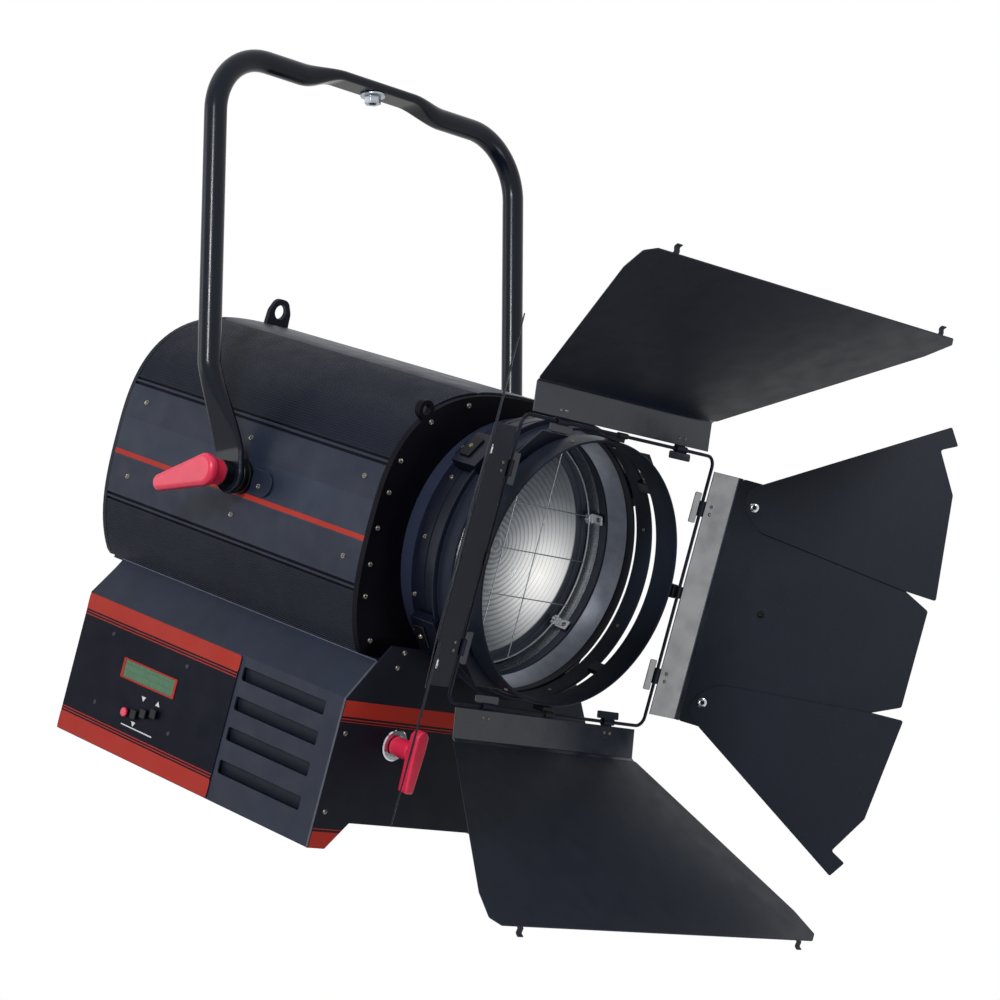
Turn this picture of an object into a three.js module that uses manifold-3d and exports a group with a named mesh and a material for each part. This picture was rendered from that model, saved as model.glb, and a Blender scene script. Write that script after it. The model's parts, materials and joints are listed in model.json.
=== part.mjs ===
// LED fresnel light on a yoke, with a rotating barn door.
// Millimetres, +Z up. The head's own frame has +X along the beam, +Y to the light's left and its
// origin on the beam axis at the front flange. The whole light hangs from the top of the yoke.
import * as THREE from 'three';
import { mergeVertices } from 'three/addons/utils/BufferGeometryUtils.js';
import Module from 'manifold-3d';

const wasm = await Module();
wasm.setup();

// Shared clearances and sheet sizes
const seatGap = 0.3;
const runGap = 0.6;
const ringRunGap = 0.8;
const cutOverrun = 2;
const joinDepth = 2;
const sheetWall = 3;
const plateWall = 6;
const fullTurn = Math.PI * 2;
const quarterTurn = Math.PI / 2;
const roundSides = 48;
const lensSides = 36;
const mediumSides = 24;
const smallSides = 12;
const rodSides = 8;
const wireSides = 6;
const hexSides = 6;
const socketSides = 16;
const yokeSides = 12;

// Housing
const housingHalfWidth = 200;
const housingTopHeight = 172;
const housingLowHeight = 202;
const housingExponent = 2.8;
const housingLength = 481.2;
const crownHalfWidth = 88;
const panelTopHeight = 70;
const panelLowHeight = -77;
const panelGrooveInset = 7;
const panelGrooveWidth = 2.2;
const panelGrooveDepth = 1.4;
const segmentGap = 1.4;
const baseSeatHeight = -147.1;

// Yoke
const headTilt = THREE.MathUtils.degToRad(20.06);
const pivotX = -235;
const yokeTubeDiameter = 26.9;
const yokeArmSpread = 253.9;
const yokeHeight = 522;
const yokeBarDrop = 15.9;
const yokeBarHeight = yokeHeight - yokeBarDrop;
const yokeBendRadius = 78.35;
const yokeFlatHalfLength = 58;
const yokeFlatRunOut = 62;
const yokeFlatThickness = 12;
const yokeFlatWidth = 37;
const clampHoleDiameter = 13;
const armBladeSpread = 219;
const armBladeThickness = 8;
const armBladeWidth = 45;
const armBladeTop = 24;
const armLeanTop = 125;
const pivotBoltDiameter = 12;

// Front flange, lens tube and accessory ring
const flangeThickness = 8;
const flangeMargin = 2;
const flangeTopDrop = 3;
const lensTubeDiameter = 300;
const lensTubeWall = 4;
const lensTubeFront = 26;
const lensTubeBack = -30;
const ringStep = 8;
const ringFront = 63;
const ringWall = 3.5;
const clipAngle = THREE.MathUtils.degToRad(39);
const clipWidth = 46;

const ringDiameter = lensTubeDiameter + ringStep * 2;

// Barn door
const doorRimReach = 7;
const doorRimDiameter = ringDiameter + doorRimReach * 2;
const doorBandBack = 68.3;
const doorRimThickness = 2.7;
const doorBandFront = 91.2;
const hoodInset = 4.8;
const hoodDiameter = ringDiameter - hoodInset * 2;
const hoodBack = 104.5;
const hoodFront = 136;
const hoodWall = 3.4;
const hingeX = 140.6;
const hingeLugHeight = 7.8;
const hingeRadius = hoodDiameter / 2 + hingeLugHeight;
const hingeWireDiameter = 4;
const leafThickness = 1.6;
const stripWidth = 38.2;
const wideLeafBendHalf = 147.4;
const sideLeafBendHalf = 145;
const knuckleSpread = 100;

// Base box
const baseHalfWidth = 198;
const baseTopHalfWidth = 165.6;
const baseShoulder = -193.1;
const baseBottom = -364.2;
const baseFront = 25.9;
const baseRear = -453.9;
const baseFloor = -333;

// Controls on the near side of the base
const overlayThickness = 0.8;
const overlayRear = -452.6;
const overlayFront = -157;
const displayCentreX = -307;
const displayCentreZ = -262;
const displayWidth = 104;
const displayHeight = 24;
const keyDiameter = 11;
const keyTravel = 1.2;

// Focus drive
const focusY = -108;
const focusZ = -239;
const focusScrewDiameter = 10;
const guideSpread = 95;
const guideZ = -128;
const guideDiameter = 10;
const ledFaceX = -140;
const focusTravel = 60;

// Materials
function finish(color, roughness, metalness) {
  return new THREE.MeshStandardMaterial({ color, roughness, metalness });
}
const powderBlack = finish(0x2d303a, 0.6, 0.2);
const powderGrey = finish(0x3a404b, 0.55, 0.2);
const crownGrey = finish(0x464852, 0.5, 0.3);
const flangeBlack = finish(0x0e0d14, 0.65, 0.2);
const leafBlack = finish(0x23272f, 0.6, 0.3);
const yokeBlack = finish(0x262a34, 0.45, 0.3);
const ringBlue = finish(0x21252d, 0.5, 0.3);
const zinc = finish(0xaab2bd, 0.35, 0.9);
const chrome = finish(0xc8ccd2, 0.15, 1);
const redPlastic = finish(0xc62a4a, 0.4, 0);
const blackPlastic = finish(0x121318, 0.5, 0);
const overlayFilm = finish(0x20222a, 0.45, 0);
const displayGreen = finish(0x55785f, 0.3, 0);
const clearGlass = finish(0xe8eef0, 0.05, 0);
const aluminium = finish(0x9aa0a6, 0.4, 0.8);
const ledYellow = finish(0xd9c25a, 0.5, 0);

// Solids from three.js geometries
function toSolid(geometry) {
  const bare = geometry.clone();
  bare.deleteAttribute('normal');
  bare.deleteAttribute('uv');
  const merged = mergeVertices(bare);
  const corners = Array.from(merged.index.array);
  const kept = [];
  for (let i = 0; i < corners.length; i += 3) {
    const [a, b, c] = corners.slice(i, i + 3);
    if (a !== b && b !== c && c !== a) kept.push(a, b, c);
  }
  const places = merged.attributes.position.array;
  if (signedVolume(places, kept) < 0) {
    kept.reverse();
  }
  return new wasm.Manifold(new wasm.Mesh({
    numProp: 3,
    vertProperties: new Float32Array(places),
    triVerts: new Uint32Array(kept),
  }));
}

function signedVolume(places, corners) {
  const [a, b, c] = [new THREE.Vector3(), new THREE.Vector3(), new THREE.Vector3()];
  let volume = 0;
  for (let i = 0; i < corners.length; i += 3) {
    a.fromArray(places, corners[i] * 3);
    b.fromArray(places, corners[i + 1] * 3);
    c.fromArray(places, corners[i + 2] * 3);
    volume += a.dot(b.cross(c));
  }
  return volume;
}

function toGeometry(solid) {
  const mesh = solid.getMesh();
  const geometry = new THREE.BufferGeometry();
  geometry.setAttribute('position', new THREE.BufferAttribute(mesh.vertProperties, 3));
  geometry.setIndex(new THREE.BufferAttribute(mesh.triVerts, 1));
  geometry.computeVertexNormals();
  return geometry;
}

function part(name, solid, material) {
  const mesh = new THREE.Mesh(toGeometry(solid), material);
  mesh.name = name;
  return mesh;
}

// A prism takes a shape drawn in the plane across its axis. Shapes across X are drawn in (y, z),
// shapes across Y in (x, z) and shapes across Z in (x, y).
const acrossX = new THREE.Matrix4().set(0, 0, 1, 0, 1, 0, 0, 0, 0, 1, 0, 0, 0, 0, 0, 1);
const acrossY = new THREE.Matrix4().set(1, 0, 0, 0, 0, 0, -1, 0, 0, 1, 0, 0, 0, 0, 0, 1);
const acrossZ = new THREE.Matrix4();

function extruded(shape, depth, curveSegments) {
  return new THREE.ExtrudeGeometry(shape, { depth, bevelEnabled: false, curveSegments });
}

function prismX(shape, low, high) {
  const geometry = extruded(shape, high - low, smallSides);
  return toSolid(geometry.applyMatrix4(acrossX).translate(low, 0, 0));
}

function prismY(shape, low, high) {
  const geometry = extruded(shape, high - low, smallSides);
  return toSolid(geometry.applyMatrix4(acrossY).translate(0, high, 0));
}

function prismZ(shape, low, high) {
  const geometry = extruded(shape, high - low, smallSides);
  return toSolid(geometry.applyMatrix4(acrossZ).translate(0, 0, low));
}

function outline(points) {
  return new THREE.Shape(points.map(([u, v]) => new THREE.Vector2(u, v)));
}

function block(x0, x1, y0, y1, z0, z1) {
  const geometry = new THREE.BoxGeometry(x1 - x0, y1 - y0, z1 - z0);
  return toSolid(geometry.translate((x0 + x1) / 2, (y0 + y1) / 2, (z0 + z1) / 2));
}

function rodX(radius, low, high, y, z, sides) {
  const geometry = new THREE.CylinderGeometry(radius, radius, high - low, sides);
  return toSolid(geometry.rotateZ(-quarterTurn).translate((low + high) / 2, y, z));
}

function rodY(radius, low, high, x, z, sides) {
  const geometry = new THREE.CylinderGeometry(radius, radius, high - low, sides);
  return toSolid(geometry.translate(x, (low + high) / 2, z));
}

function rodZ(radius, low, high, x, y, sides) {
  const geometry = new THREE.CylinderGeometry(radius, radius, high - low, sides);
  return toSolid(geometry.rotateX(quarterTurn).translate(x, y, (low + high) / 2));
}

// A turned piece about the X axis from (radius, x) points that close on themselves
function turnedX(points, sides) {
  const closed = [...points, points[0]];
  const profile = closed.map(([radius, x]) => new THREE.Vector2(radius, x));
  const geometry = new THREE.LatheGeometry(profile, sides);
  return toSolid(geometry.applyMatrix4(acrossX.clone().multiply(acrossX)));
}

function ringX(outer, inner, low, high, sides) {
  return turnedX([[inner, low], [outer, low], [outer, high], [inner, high]], sides);
}

// Housing section: a superellipse with a deeper lower half
function housingY(z, grow) {
  const half = (z > 0 ? housingTopHeight : housingLowHeight) + grow;
  const share = Math.min(Math.abs(z) / half, 1);
  return (housingHalfWidth + grow) * (1 - share ** housingExponent) ** (1 / housingExponent);
}

function housingZ(y, grow) {
  const share = Math.min(Math.abs(y) / (housingHalfWidth + grow), 1);
  return (housingTopHeight + grow) * (1 - share ** housingExponent) ** (1 / housingExponent);
}

function sidePath(fromZ, toZ, steps, grow) {
  const points = [];
  for (let i = 0; i <= steps; i += 1) {
    const z = THREE.MathUtils.lerp(fromZ, toZ, i / steps);
    points.push([housingY(z, grow), z]);
  }
  return points;
}

// The upper side runs from the crown to the panel. Its steps shorten towards the crown, where the
// section turns over.
function upperPath(steps, grow) {
  const points = [];
  const fromY = crownHalfWidth + segmentGap;
  const start = Math.atan2(housingZ(fromY, 0), fromY);
  const toZ = panelTopHeight + segmentGap;
  const end = Math.atan2(toZ, housingY(toZ, 0));
  for (let i = 0; i <= steps; i += 1) {
    const angle = THREE.MathUtils.lerp(start, end, i / steps);
    const c = Math.cos(angle) / (housingHalfWidth + grow);
    const s = Math.sin(angle) / (housingTopHeight + grow);
    const reach = (c ** housingExponent + s ** housingExponent) ** (-1 / housingExponent);
    points.push([reach * Math.cos(angle), reach * Math.sin(angle)]);
  }
  return points;
}

function shellSolid(outer, inner, side) {
  const points = [...outer, ...inner.reverse()].map(([y, z]) => [y * side, z]);
  return prismX(outline(points), -housingLength + plateWall + seatGap, -flangeThickness - seatGap);
}

function topShell() {
  const outer = [];
  const inner = [];
  const steps = 12;
  for (let i = 0; i <= steps; i += 1) {
    const share = 1 - (2 * i) / steps;
    const outerY = crownHalfWidth * share;
    const innerY = (crownHalfWidth - sheetWall) * share;
    outer.push([outerY, housingZ(outerY, 0)]);
    inner.push([innerY, housingZ(innerY, -sheetWall)]);
  }
  return shellSolid(outer, inner, 1);
}

function upperRib(side) {
  const steps = 12;
  return shellSolid(upperPath(steps, 0), upperPath(steps, -sheetWall), side);
}

function lowerRib(side) {
  const steps = 6;
  const from = panelLowHeight - segmentGap;
  const outer = sidePath(from, baseSeatHeight, steps, 0);
  const inner = sidePath(from, baseSeatHeight, steps, -sheetWall);
  return shellSolid(outer, inner, side);
}

function panelGroove(z, side) {
  const y = housingY(z, 0) * side;
  const half = panelGrooveWidth / 2;
  return block(-housingLength - cutOverrun, cutOverrun,
    y - panelGrooveDepth, y + panelGrooveDepth, z - half, z + half);
}

function sidePanel(side) {
  const steps = 10;
  const outer = sidePath(panelTopHeight, panelLowHeight, steps, 0);
  const inner = sidePath(panelTopHeight, panelLowHeight, steps, -sheetWall);
  const boltHole = rodY(pivotBoltDiameter / 2 + seatGap, -housingHalfWidth * 2, housingHalfWidth * 2,
    pivotX, 0, smallSides);
  return shellSolid(outer, inner, side)
    .subtract(panelGroove(panelTopHeight - panelGrooveInset, side))
    .subtract(panelGroove(panelLowHeight + panelGrooveInset, side))
    .subtract(boltHole);
}

// Flange, rear plate and chassis plate
const eyeOuterRadius = 11;
const eyeHoleRadius = 6;
const flangeEyeY = 166;
const flangeEyeZ = 134;
const safetyEyeRadius = 17;
const safetyEyeHoleRadius = 9;
const safetyEyeZ = 189;
const safetyEyeHalfBase = 19;

function plateShape(grow, topDrop, lowZ) {
  const points = [];
  const steps = 40;
  for (let i = 0; i < steps; i += 1) {
    const angle = (fullTurn * i) / steps;
    const half = (Math.sin(angle) > 0 ? housingTopHeight - topDrop : housingLowHeight - topDrop) + grow;
    const c = Math.abs(Math.cos(angle)) / (housingHalfWidth + grow);
    const s = Math.abs(Math.sin(angle)) / half;
    const reach = (c ** housingExponent + s ** housingExponent) ** (-1 / housingExponent);
    points.push([reach * Math.cos(angle), Math.max(reach * Math.sin(angle), lowZ)]);
  }
  return outline(points);
}

function frontFlange() {
  const lensBore = lensTubeDiameter / 2 + seatGap * 2;
  let flange = prismX(plateShape(flangeMargin, flangeTopDrop + flangeMargin, baseSeatHeight),
    -flangeThickness, 0);
  for (const side of [-1, 1]) {
    const y = flangeEyeY * side;
    flange = flange
      .add(rodX(eyeOuterRadius, -flangeThickness, 0, y, flangeEyeZ, smallSides))
      .subtract(rodX(eyeHoleRadius, -flangeThickness - cutOverrun, cutOverrun, y, flangeEyeZ, smallSides));
  }
  const bore = rodX(lensBore, -flangeThickness - cutOverrun, cutOverrun, 0, 0, roundSides);
  return flange.subtract(bore);
}

const fanCentreZ = 20;
const fanSize = 120;
const fanBoreRadius = 56;
const fanDepth = 25;
const fanHubRadius = 18;
const fanShaftRadius = 3;

function rearPlate() {
  const low = -housingLength;
  const high = low + plateWall;
  const tabFoot = housingTopHeight - safetyEyeRadius;
  const tab = outline([
    [-safetyEyeHalfBase, tabFoot],
    [safetyEyeHalfBase, tabFoot],
    [safetyEyeRadius, safetyEyeZ],
    [-safetyEyeRadius, safetyEyeZ],
  ]);
  return prismX(plateShape(0, 0, baseSeatHeight), low, high)
    .add(prismX(tab, low, high))
    .add(rodX(safetyEyeRadius, low, high, 0, safetyEyeZ, mediumSides))
    .subtract(rodX(safetyEyeHoleRadius, low - cutOverrun, high + cutOverrun, 0, safetyEyeZ, smallSides))
    .subtract(rodX(fanBoreRadius, low - cutOverrun, high + cutOverrun, 0, fanCentreZ, mediumSides))
    .add(fanGrille(low, high));
}

// The rear plate is punched with a round grille in front of the fan
const grilleBarWidth = 4;
const grilleRings = 2;

function fanGrille(low, high) {
  const half = grilleBarWidth / 2;
  let grille = block(low, high, -fanBoreRadius, fanBoreRadius, -half, half);
  grille = grille.add(block(low, high, -half, half, -fanBoreRadius, fanBoreRadius));
  for (let i = 1; i <= grilleRings; i += 1) {
    const radius = (fanBoreRadius * i) / (grilleRings + 1) + half;
    grille = grille.add(ringX(radius, radius - grilleBarWidth, low, high, smallSides));
  }
  return grille.translate(0, 0, fanCentreZ);
}

const fanBack = -housingLength + plateWall + seatGap;
const fanStrutWidth = 5;
const fanStrutDepth = 4;

function fanFrame() {
  const high = fanBack + fanDepth;
  const half = fanSize / 2;
  const bore = rodX(fanBoreRadius, fanBack - cutOverrun, high + cutOverrun, 0, 0, mediumSides);
  const strut = block(high - fanStrutDepth, high, -fanBoreRadius - joinDepth, fanBoreRadius + joinDepth,
    -fanStrutWidth / 2, fanStrutWidth / 2);
  return block(fanBack, high, -half, half, -half, half)
    .subtract(bore)
    .add(strut)
    .add(strut.rotate(90, 0, 0))
    .add(rodX(fanHubRadius, high - fanStrutDepth, high, 0, 0, smallSides))
    .add(rodX(fanShaftRadius, fanBack + fanStrutDepth, high, 0, 0, smallSides))
    .translate(0, 0, fanCentreZ);
}

const fanBlades = 7;
const fanBladeThickness = 1.5;
const fanTipGap = 1.5;
const fanBladePitch = 40;

function fanRotor() {
  const low = fanBack + fanStrutDepth / 2;
  const high = fanBack + fanDepth - fanStrutDepth - runGap;
  const middle = (low + high) / 2;
  const halfBlade = fanBladeThickness / 2;
  const bladeReach = (high - low) / 2 - fanTipGap;
  let rotor = rodX(fanHubRadius, low, high, 0, 0, smallSides);
  for (let i = 0; i < fanBlades; i += 1) {
    const blade = block(-bladeReach, bladeReach, -halfBlade, halfBlade,
      fanHubRadius - fanStrutDepth, fanBoreRadius - fanTipGap)
      .rotate(0, 0, fanBladePitch)
      .translate(middle, 0, 0)
      .rotate((360 * i) / fanBlades, 0, 0);
    rotor = rotor.add(blade);
  }
  return rotor
    .subtract(rodX(fanShaftRadius + seatGap, low - cutOverrun, high + cutOverrun, 0, 0, smallSides))
    .translate(0, 0, fanCentreZ);
}

const chassisTop = baseSeatHeight - seatGap;
const chassisSideGap = 2;
const chassisHalfWidth = baseTopHalfWidth - sheetWall - chassisSideGap;
const chassisFront = baseFront - sheetWall - seatGap;
const slotMargin = 6;

function chassisPlate() {
  const slot = block(carriageArmX() - focusTravel - slotMargin, carriageArmX() + focusTravel + slotMargin,
    focusY - armPlateHalf - slotMargin, focusY + armPlateHalf + slotMargin,
    chassisTop - sheetWall - cutOverrun, chassisTop + cutOverrun);
  const lensRoom = rodX(lensTubeDiameter / 2 + runGap, lensTubeBack - runGap, chassisFront + cutOverrun,
    0, 0, roundSides);
  return block(-housingLength + plateWall + seatGap, chassisFront, -chassisHalfWidth, chassisHalfWidth,
    chassisTop - sheetWall, chassisTop).subtract(slot).subtract(lensRoom);
}

// Optics
const lensCellWall = 11.4;
const lensLipReach = 4.4;
const cellRadius = lensTubeDiameter / 2 - lensTubeWall - runGap;
const lensRadius = cellRadius - lensCellWall - runGap;
const lensApertureRadius = lensRadius - lensLipReach;
const lensCellFront = -4;
const lensCellBack = -24;
const lensCellLip = 2.5;
const lensBase = -10;
const lensBack = -16;
const lensCrownRadius = 28;
const lensCrownHeight = 4.5;
const lensSteps = 6;
const lensToothLow = 1.6;
const lensToothHigh = 3.4;
const lensRimWidth = 4;
const crownRingShare = 0.5;
const crownRingRiseShare = 0.75;

function lensTube() {
  const outer = lensTubeDiameter / 2;
  return ringX(outer, outer - lensTubeWall, lensTubeBack, lensTubeFront, roundSides);
}

function lensCell() {
  const lipBack = lensCellFront - lensCellLip;
  return turnedX([
    [lensApertureRadius, lipBack],
    [lensRadius + runGap, lipBack],
    [lensRadius + runGap, lensCellBack],
    [cellRadius, lensCellBack],
    [cellRadius, lensCellFront],
    [lensApertureRadius, lensCellFront],
  ], roundSides);
}

function fresnelLens() {
  const front = lensCellFront - lensCellLip - seatGap;
  const toothReach = lensApertureRadius - lensRimWidth;
  const points = [[0, lensBack], [lensRadius, lensBack], [lensRadius, front], [toothReach, front]];
  const stepWidth = (toothReach - lensCrownRadius) / lensSteps;
  for (let i = lensSteps; i > 0; i -= 1) {
    const inner = lensCrownRadius + stepWidth * (i - 1);
    const tooth = THREE.MathUtils.lerp(lensToothLow, lensToothHigh, i / lensSteps);
    points.push([inner + stepWidth, lensBase]);
    points.push([inner, lensBase + tooth]);
  }
  points.push([lensCrownRadius, lensBase]);
  points.push([lensCrownRadius * crownRingShare, lensBase + lensCrownHeight * crownRingRiseShare]);
  points.push([0, lensBase + lensCrownHeight]);
  return turnedX(points, lensSides);
}

const guardX = 7;
const guardWireRadius = 1.4;
const guardLoopGap = 9;
const guardLoopRadius = lensTubeDiameter / 2 - lensTubeWall - guardLoopGap;
const guardRodShare = 0.3942;
const guardRodSpacing = guardLoopRadius * guardRodShare;
const guardTabWidth = 9;
const guardTabShares = [0.15, 0.4, 0.65, 0.9];

function wireGuard() {
  const loop = new THREE.TorusGeometry(guardLoopRadius, guardWireRadius, wireSides, lensSides);
  let guard = toSolid(loop.rotateY(quarterTurn));
  for (const row of [-1, 0, 1]) {
    const offset = row * guardRodSpacing;
    const reach = Math.sqrt(guardLoopRadius ** 2 - offset ** 2);
    guard = guard.add(rodY(guardWireRadius, -reach, reach, 0, offset, wireSides));
    guard = guard.add(rodZ(guardWireRadius, -reach, reach, 0, offset, wireSides));
  }
  const tabReach = lensTubeDiameter / 2 - lensTubeWall - seatGap * 2;
  for (const share of guardTabShares) {
    const tab = block(-guardWireRadius, guardWireRadius, guardLoopRadius, tabReach,
      -guardTabWidth / 2, guardTabWidth / 2);
    guard = guard.add(tab.rotate(360 * share, 0, 0));
  }
  return guard.translate(guardX, 0, 0);
}

// Accessory ring: a back wall, a front band and a sloping reflector skirt inside
const ringBack = lensTubeFront + seatGap;
const skirtDepth = 26;

function accessoryRing() {
  const outer = ringDiameter / 2;
  const inner = lensTubeDiameter / 2 - lensTubeWall;
  return turnedX([
    [inner, ringBack],
    [outer, ringBack],
    [outer, ringFront],
    [outer - ringWall, ringFront],
    [outer - ringWall, ringBack + skirtDepth],
    [inner, ringBack + ringWall],
  ], roundSides);
}

// A clip is a C-shaped bracket on the accessory ring that traps the rim of the barn door's band
const clipSeat = ringDiameter / 2 + seatGap;
const clipBase = 7;
const clipCap = 5;
const clipBack = 37;
const hookThickness = 3.5;
const clipMouth = doorRimDiameter / 2 + ringRunGap;
const clipOuter = clipMouth + clipCap;
const hookBack = doorBandBack + doorRimThickness + ringRunGap;
const clipFront = hookBack + hookThickness;
const clipBaseFront = doorBandBack - ringRunGap;
const hookFoot = ringDiameter / 2 + ringRunGap;

function clipProfile(back) {
  return outline([
    [back, clipSeat],
    [clipBaseFront, clipSeat],
    [clipBaseFront, clipMouth],
    [hookBack, clipMouth],
    [hookBack, hookFoot],
    [clipFront, hookFoot],
    [clipFront, clipOuter],
    [back, clipOuter],
  ]);
}

// Placed by turning about the beam axis: a turn of zero puts a piece at the top
function aroundBeam(solid, degrees) {
  return solid.rotate(degrees, 0, 0);
}

function ringHollow(low, high) {
  return rodX(ringDiameter / 2 + seatGap, low, high, 0, 0, roundSides);
}

const clipWing = 9;

function accessoryClip(degrees) {
  const half = clipWidth / 2;
  const bracket = prismY(clipProfile(clipBack), -half, half);
  const foot = block(clipBack - clipWing, clipBack, -half / 2, half / 2, clipSeat, clipSeat + clipBase);
  const placed = aroundBeam(bracket.add(foot), degrees);
  return placed.subtract(ringHollow(clipBack - clipWing - cutOverrun, clipFront + cutOverrun));
}

// The latch turns about a pin held by two ears on its own small base
const latchPinX = 46;
const latchPinRadius = 2;
const latchPinHeight = clipSeat + clipBase;
const latchEarThickness = 4;
const latchEarReach = 5;
const latchFloorRise = 1;

function latchBase(degrees) {
  const half = clipWidth / 2;
  const ears = [];
  for (const side of [-1, 1]) {
    const outer = side * half;
    const inner = side * (half - latchEarThickness);
    const [low, high] = [Math.min(outer, inner), Math.max(outer, inner)];
    ears.push(block(latchPinX - latchEarReach, latchPinX + latchEarReach, low, high, clipSeat,
      latchPinHeight + latchEarReach));
  }
  const pin = rodY(latchPinRadius, -half, half, latchPinX, latchPinHeight, rodSides);
  const floor = block(clipBack - clipWing, ringFront - seatGap, -half, half, ringDiameter / 2 - ringWall * 2,
    clipSeat + latchFloorRise);
  const placed = aroundBeam(floor.add(ears[0]).add(ears[1]).add(pin), degrees);
  const bore = ringDiameter / 2 - ringWall / 2;
  return placed.subtract(rodX(bore, clipBack - clipWing - cutOverrun, clipFront, 0, 0, roundSides));
}

function latchLever(degrees) {
  const half = clipWidth / 2 - latchEarThickness - runGap;
  const arm = outline([
    [latchPinX - latchEarReach, latchPinHeight - latchPinRadius],
    [latchPinX + latchEarReach, latchPinHeight - latchPinRadius],
    [clipBaseFront, clipMouth],
    [hookBack, clipMouth],
    [hookBack, hookFoot],
    [clipFront, hookFoot],
    [clipFront, clipOuter],
    [latchPinX - latchEarReach, clipOuter],
  ]);
  const bore = rodY(latchPinRadius + seatGap, -clipWidth, clipWidth, latchPinX, latchPinHeight, rodSides);
  return aroundBeam(prismY(arm, -half, half).subtract(bore), degrees);
}

// Barn door ring: a band with a rim turned out at its back, an octagon plate on posts and the hood
const octagonFlatInset = 7.2;
const octagonHalf = hoodDiameter / 2 - octagonFlatInset;
const octagonDiagonalShare = 1.6164;
const octagonDiagonal = octagonHalf * octagonDiagonalShare;
const octagonThickness = 2.5;
const postWidth = 14;
const cornerShares = [0.125, 0.375, 0.625, 0.875];

function barnDoorRing() {
  const bandOuter = ringDiameter / 2;
  const bandInner = bandOuter - ringWall;
  const rimFront = doorBandBack + doorRimThickness;
  const hoodInner = hoodDiameter / 2 - hoodWall;
  const rear = turnedX([
    [bandInner, doorBandBack],
    [doorRimDiameter / 2, doorBandBack],
    [doorRimDiameter / 2, rimFront],
    [bandOuter, rimFront],
    [bandOuter, doorBandFront],
    [bandInner, doorBandFront],
  ], roundSides);
  const hood = ringX(hoodDiameter / 2, hoodInner, hoodBack, hoodFront, roundSides);
  const cornerCut = octagonDiagonal - octagonHalf;
  const octagon = outline([
    [octagonHalf, cornerCut], [cornerCut, octagonHalf],
    [-cornerCut, octagonHalf], [-octagonHalf, cornerCut],
    [-octagonHalf, -cornerCut], [-cornerCut, -octagonHalf],
    [cornerCut, -octagonHalf], [octagonHalf, -cornerCut],
  ]);
  const bore = rodX(hoodInner, doorBandBack - cutOverrun, hoodFront + cutOverrun, 0, 0, roundSides);
  let ring = rear.add(hood).add(prismX(octagon, hoodBack, hoodBack + octagonThickness).subtract(bore));
  for (const share of cornerShares) {
    const post = block(doorBandFront - ringWall, hoodBack + octagonThickness, -postWidth / 2, postWidth / 2,
      hoodInner + seatGap, bandOuter - seatGap);
    ring = ring.add(aroundBeam(post, 360 * share));
  }
  return ring;
}

// Hinge frame: a square wire loop with round corners, held to the hood by a lug on each side
const wireCornerRadius = 12;
const quarterShares = [0.25, 0.5, 0.75];
const lugWidth = 16;
const lugBack = 122;
const lugTop = hingeRadius - hingeWireDiameter / 4;

function hingeFrame() {
  const wire = hingeWireDiameter / 2;
  const straight = hingeRadius - wireCornerRadius;
  const loop = new THREE.TorusGeometry(wireCornerRadius, wire, rodSides, mediumSides);
  const quadrant = block(-hingeWireDiameter, hingeWireDiameter, 0, hingeRadius, 0, hingeRadius);
  const bend = toSolid(loop.rotateY(quarterTurn)).intersect(quadrant).translate(hingeX, straight, straight);
  const rod = rodY(wire, -straight, straight, hingeX, hingeRadius, rodSides);
  const lug = block(lugBack, hingeX, -lugWidth / 2, lugWidth / 2, hoodDiameter / 2 + seatGap, lugTop);
  const side = rod.add(bend).add(lug);
  let frame = side;
  for (const share of quarterShares) {
    frame = frame.add(aroundBeam(side, 360 * share));
  }
  return frame;
}

// Barn door leaves. A leaf's own frame has its origin on the hinge wire, X across the strip, Y along
// the hinge and Z on the side away from the beam.
const leafStart = 4.5;
const knuckleLength = 18;
const knuckleOuterRadius = 4.3;
const knuckleBoreRadius = 2.7;
const knuckleTailLength = 12;
const knuckleTailWidth = 36;
const knuckleTabLength = 14;
const rivetRadius = 2.2;
const rivetHeadRadius = 5;
const rivetHeadThickness = 1.5;
const earThickness = 1.4;
const earGap = 0.5;
const earPivotReach = 28;
const earPivotSpread = 116.7;
const leafTabSpread = 228;
const leafTabWidth = 14;
const leafTabLength = 14;

// Outlines are shares of a leaf's reach along the panel and of its half width across it
const wideLeafReach = 272.4;
const wideLeafHalf = 266;
const wideLeafShares = [[0.837, 0.97], [0.962, 1], [1, 0.955]];
const sideLeafReach = 252.6;
const sideLeafShares = [[0.127, 1], [0.879, 0.493], [1, 0.39]];
const earReach = 259;
const earHalf = 264;
const earShares = [[0.124, 0.553], [0.867, 1], [0.915, 0.928], [0.846, 0.893], [0.95, 0.72], [1, 0.265],
  [0.861, 0.271], [0.158, 0.345], [0.077, 0.413], [0.046, 0.496]];

function scaledOutline(shares, reach, half) {
  return shares.map(([along, across]) => [along * reach, across * half]);
}

const wideLeaf = {
  bendHalf: wideLeafBendHalf,
  side: scaledOutline(wideLeafShares, wideLeafReach, wideLeafHalf),
};
const sideLeaf = {
  bendHalf: sideLeafBendHalf,
  side: scaledOutline(sideLeafShares, sideLeafReach, sideLeafBendHalf),
};
const earPoints = scaledOutline(earShares, earReach, earHalf);

function mirrored(points) {
  return points.map(([s, w]) => [s, -w]).reverse();
}

function knuckle(spread) {
  const low = spread - knuckleLength / 2;
  const high = spread + knuckleLength / 2;
  const half = leafThickness / 2;
  const tail = block(-knuckleTailLength, 0, spread - knuckleTailWidth / 2, spread + knuckleTailWidth / 2,
    -half, half);
  return rodY(knuckleOuterRadius, low, high, 0, 0, rodSides)
    .add(block(0, knuckleTabLength, low, high, half / 2, half + leafThickness))
    .add(tail)
    .subtract(rodY(knuckleBoreRadius, low - knuckleTailWidth, high + knuckleTailWidth, 0, 0, rodSides));
}

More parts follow.
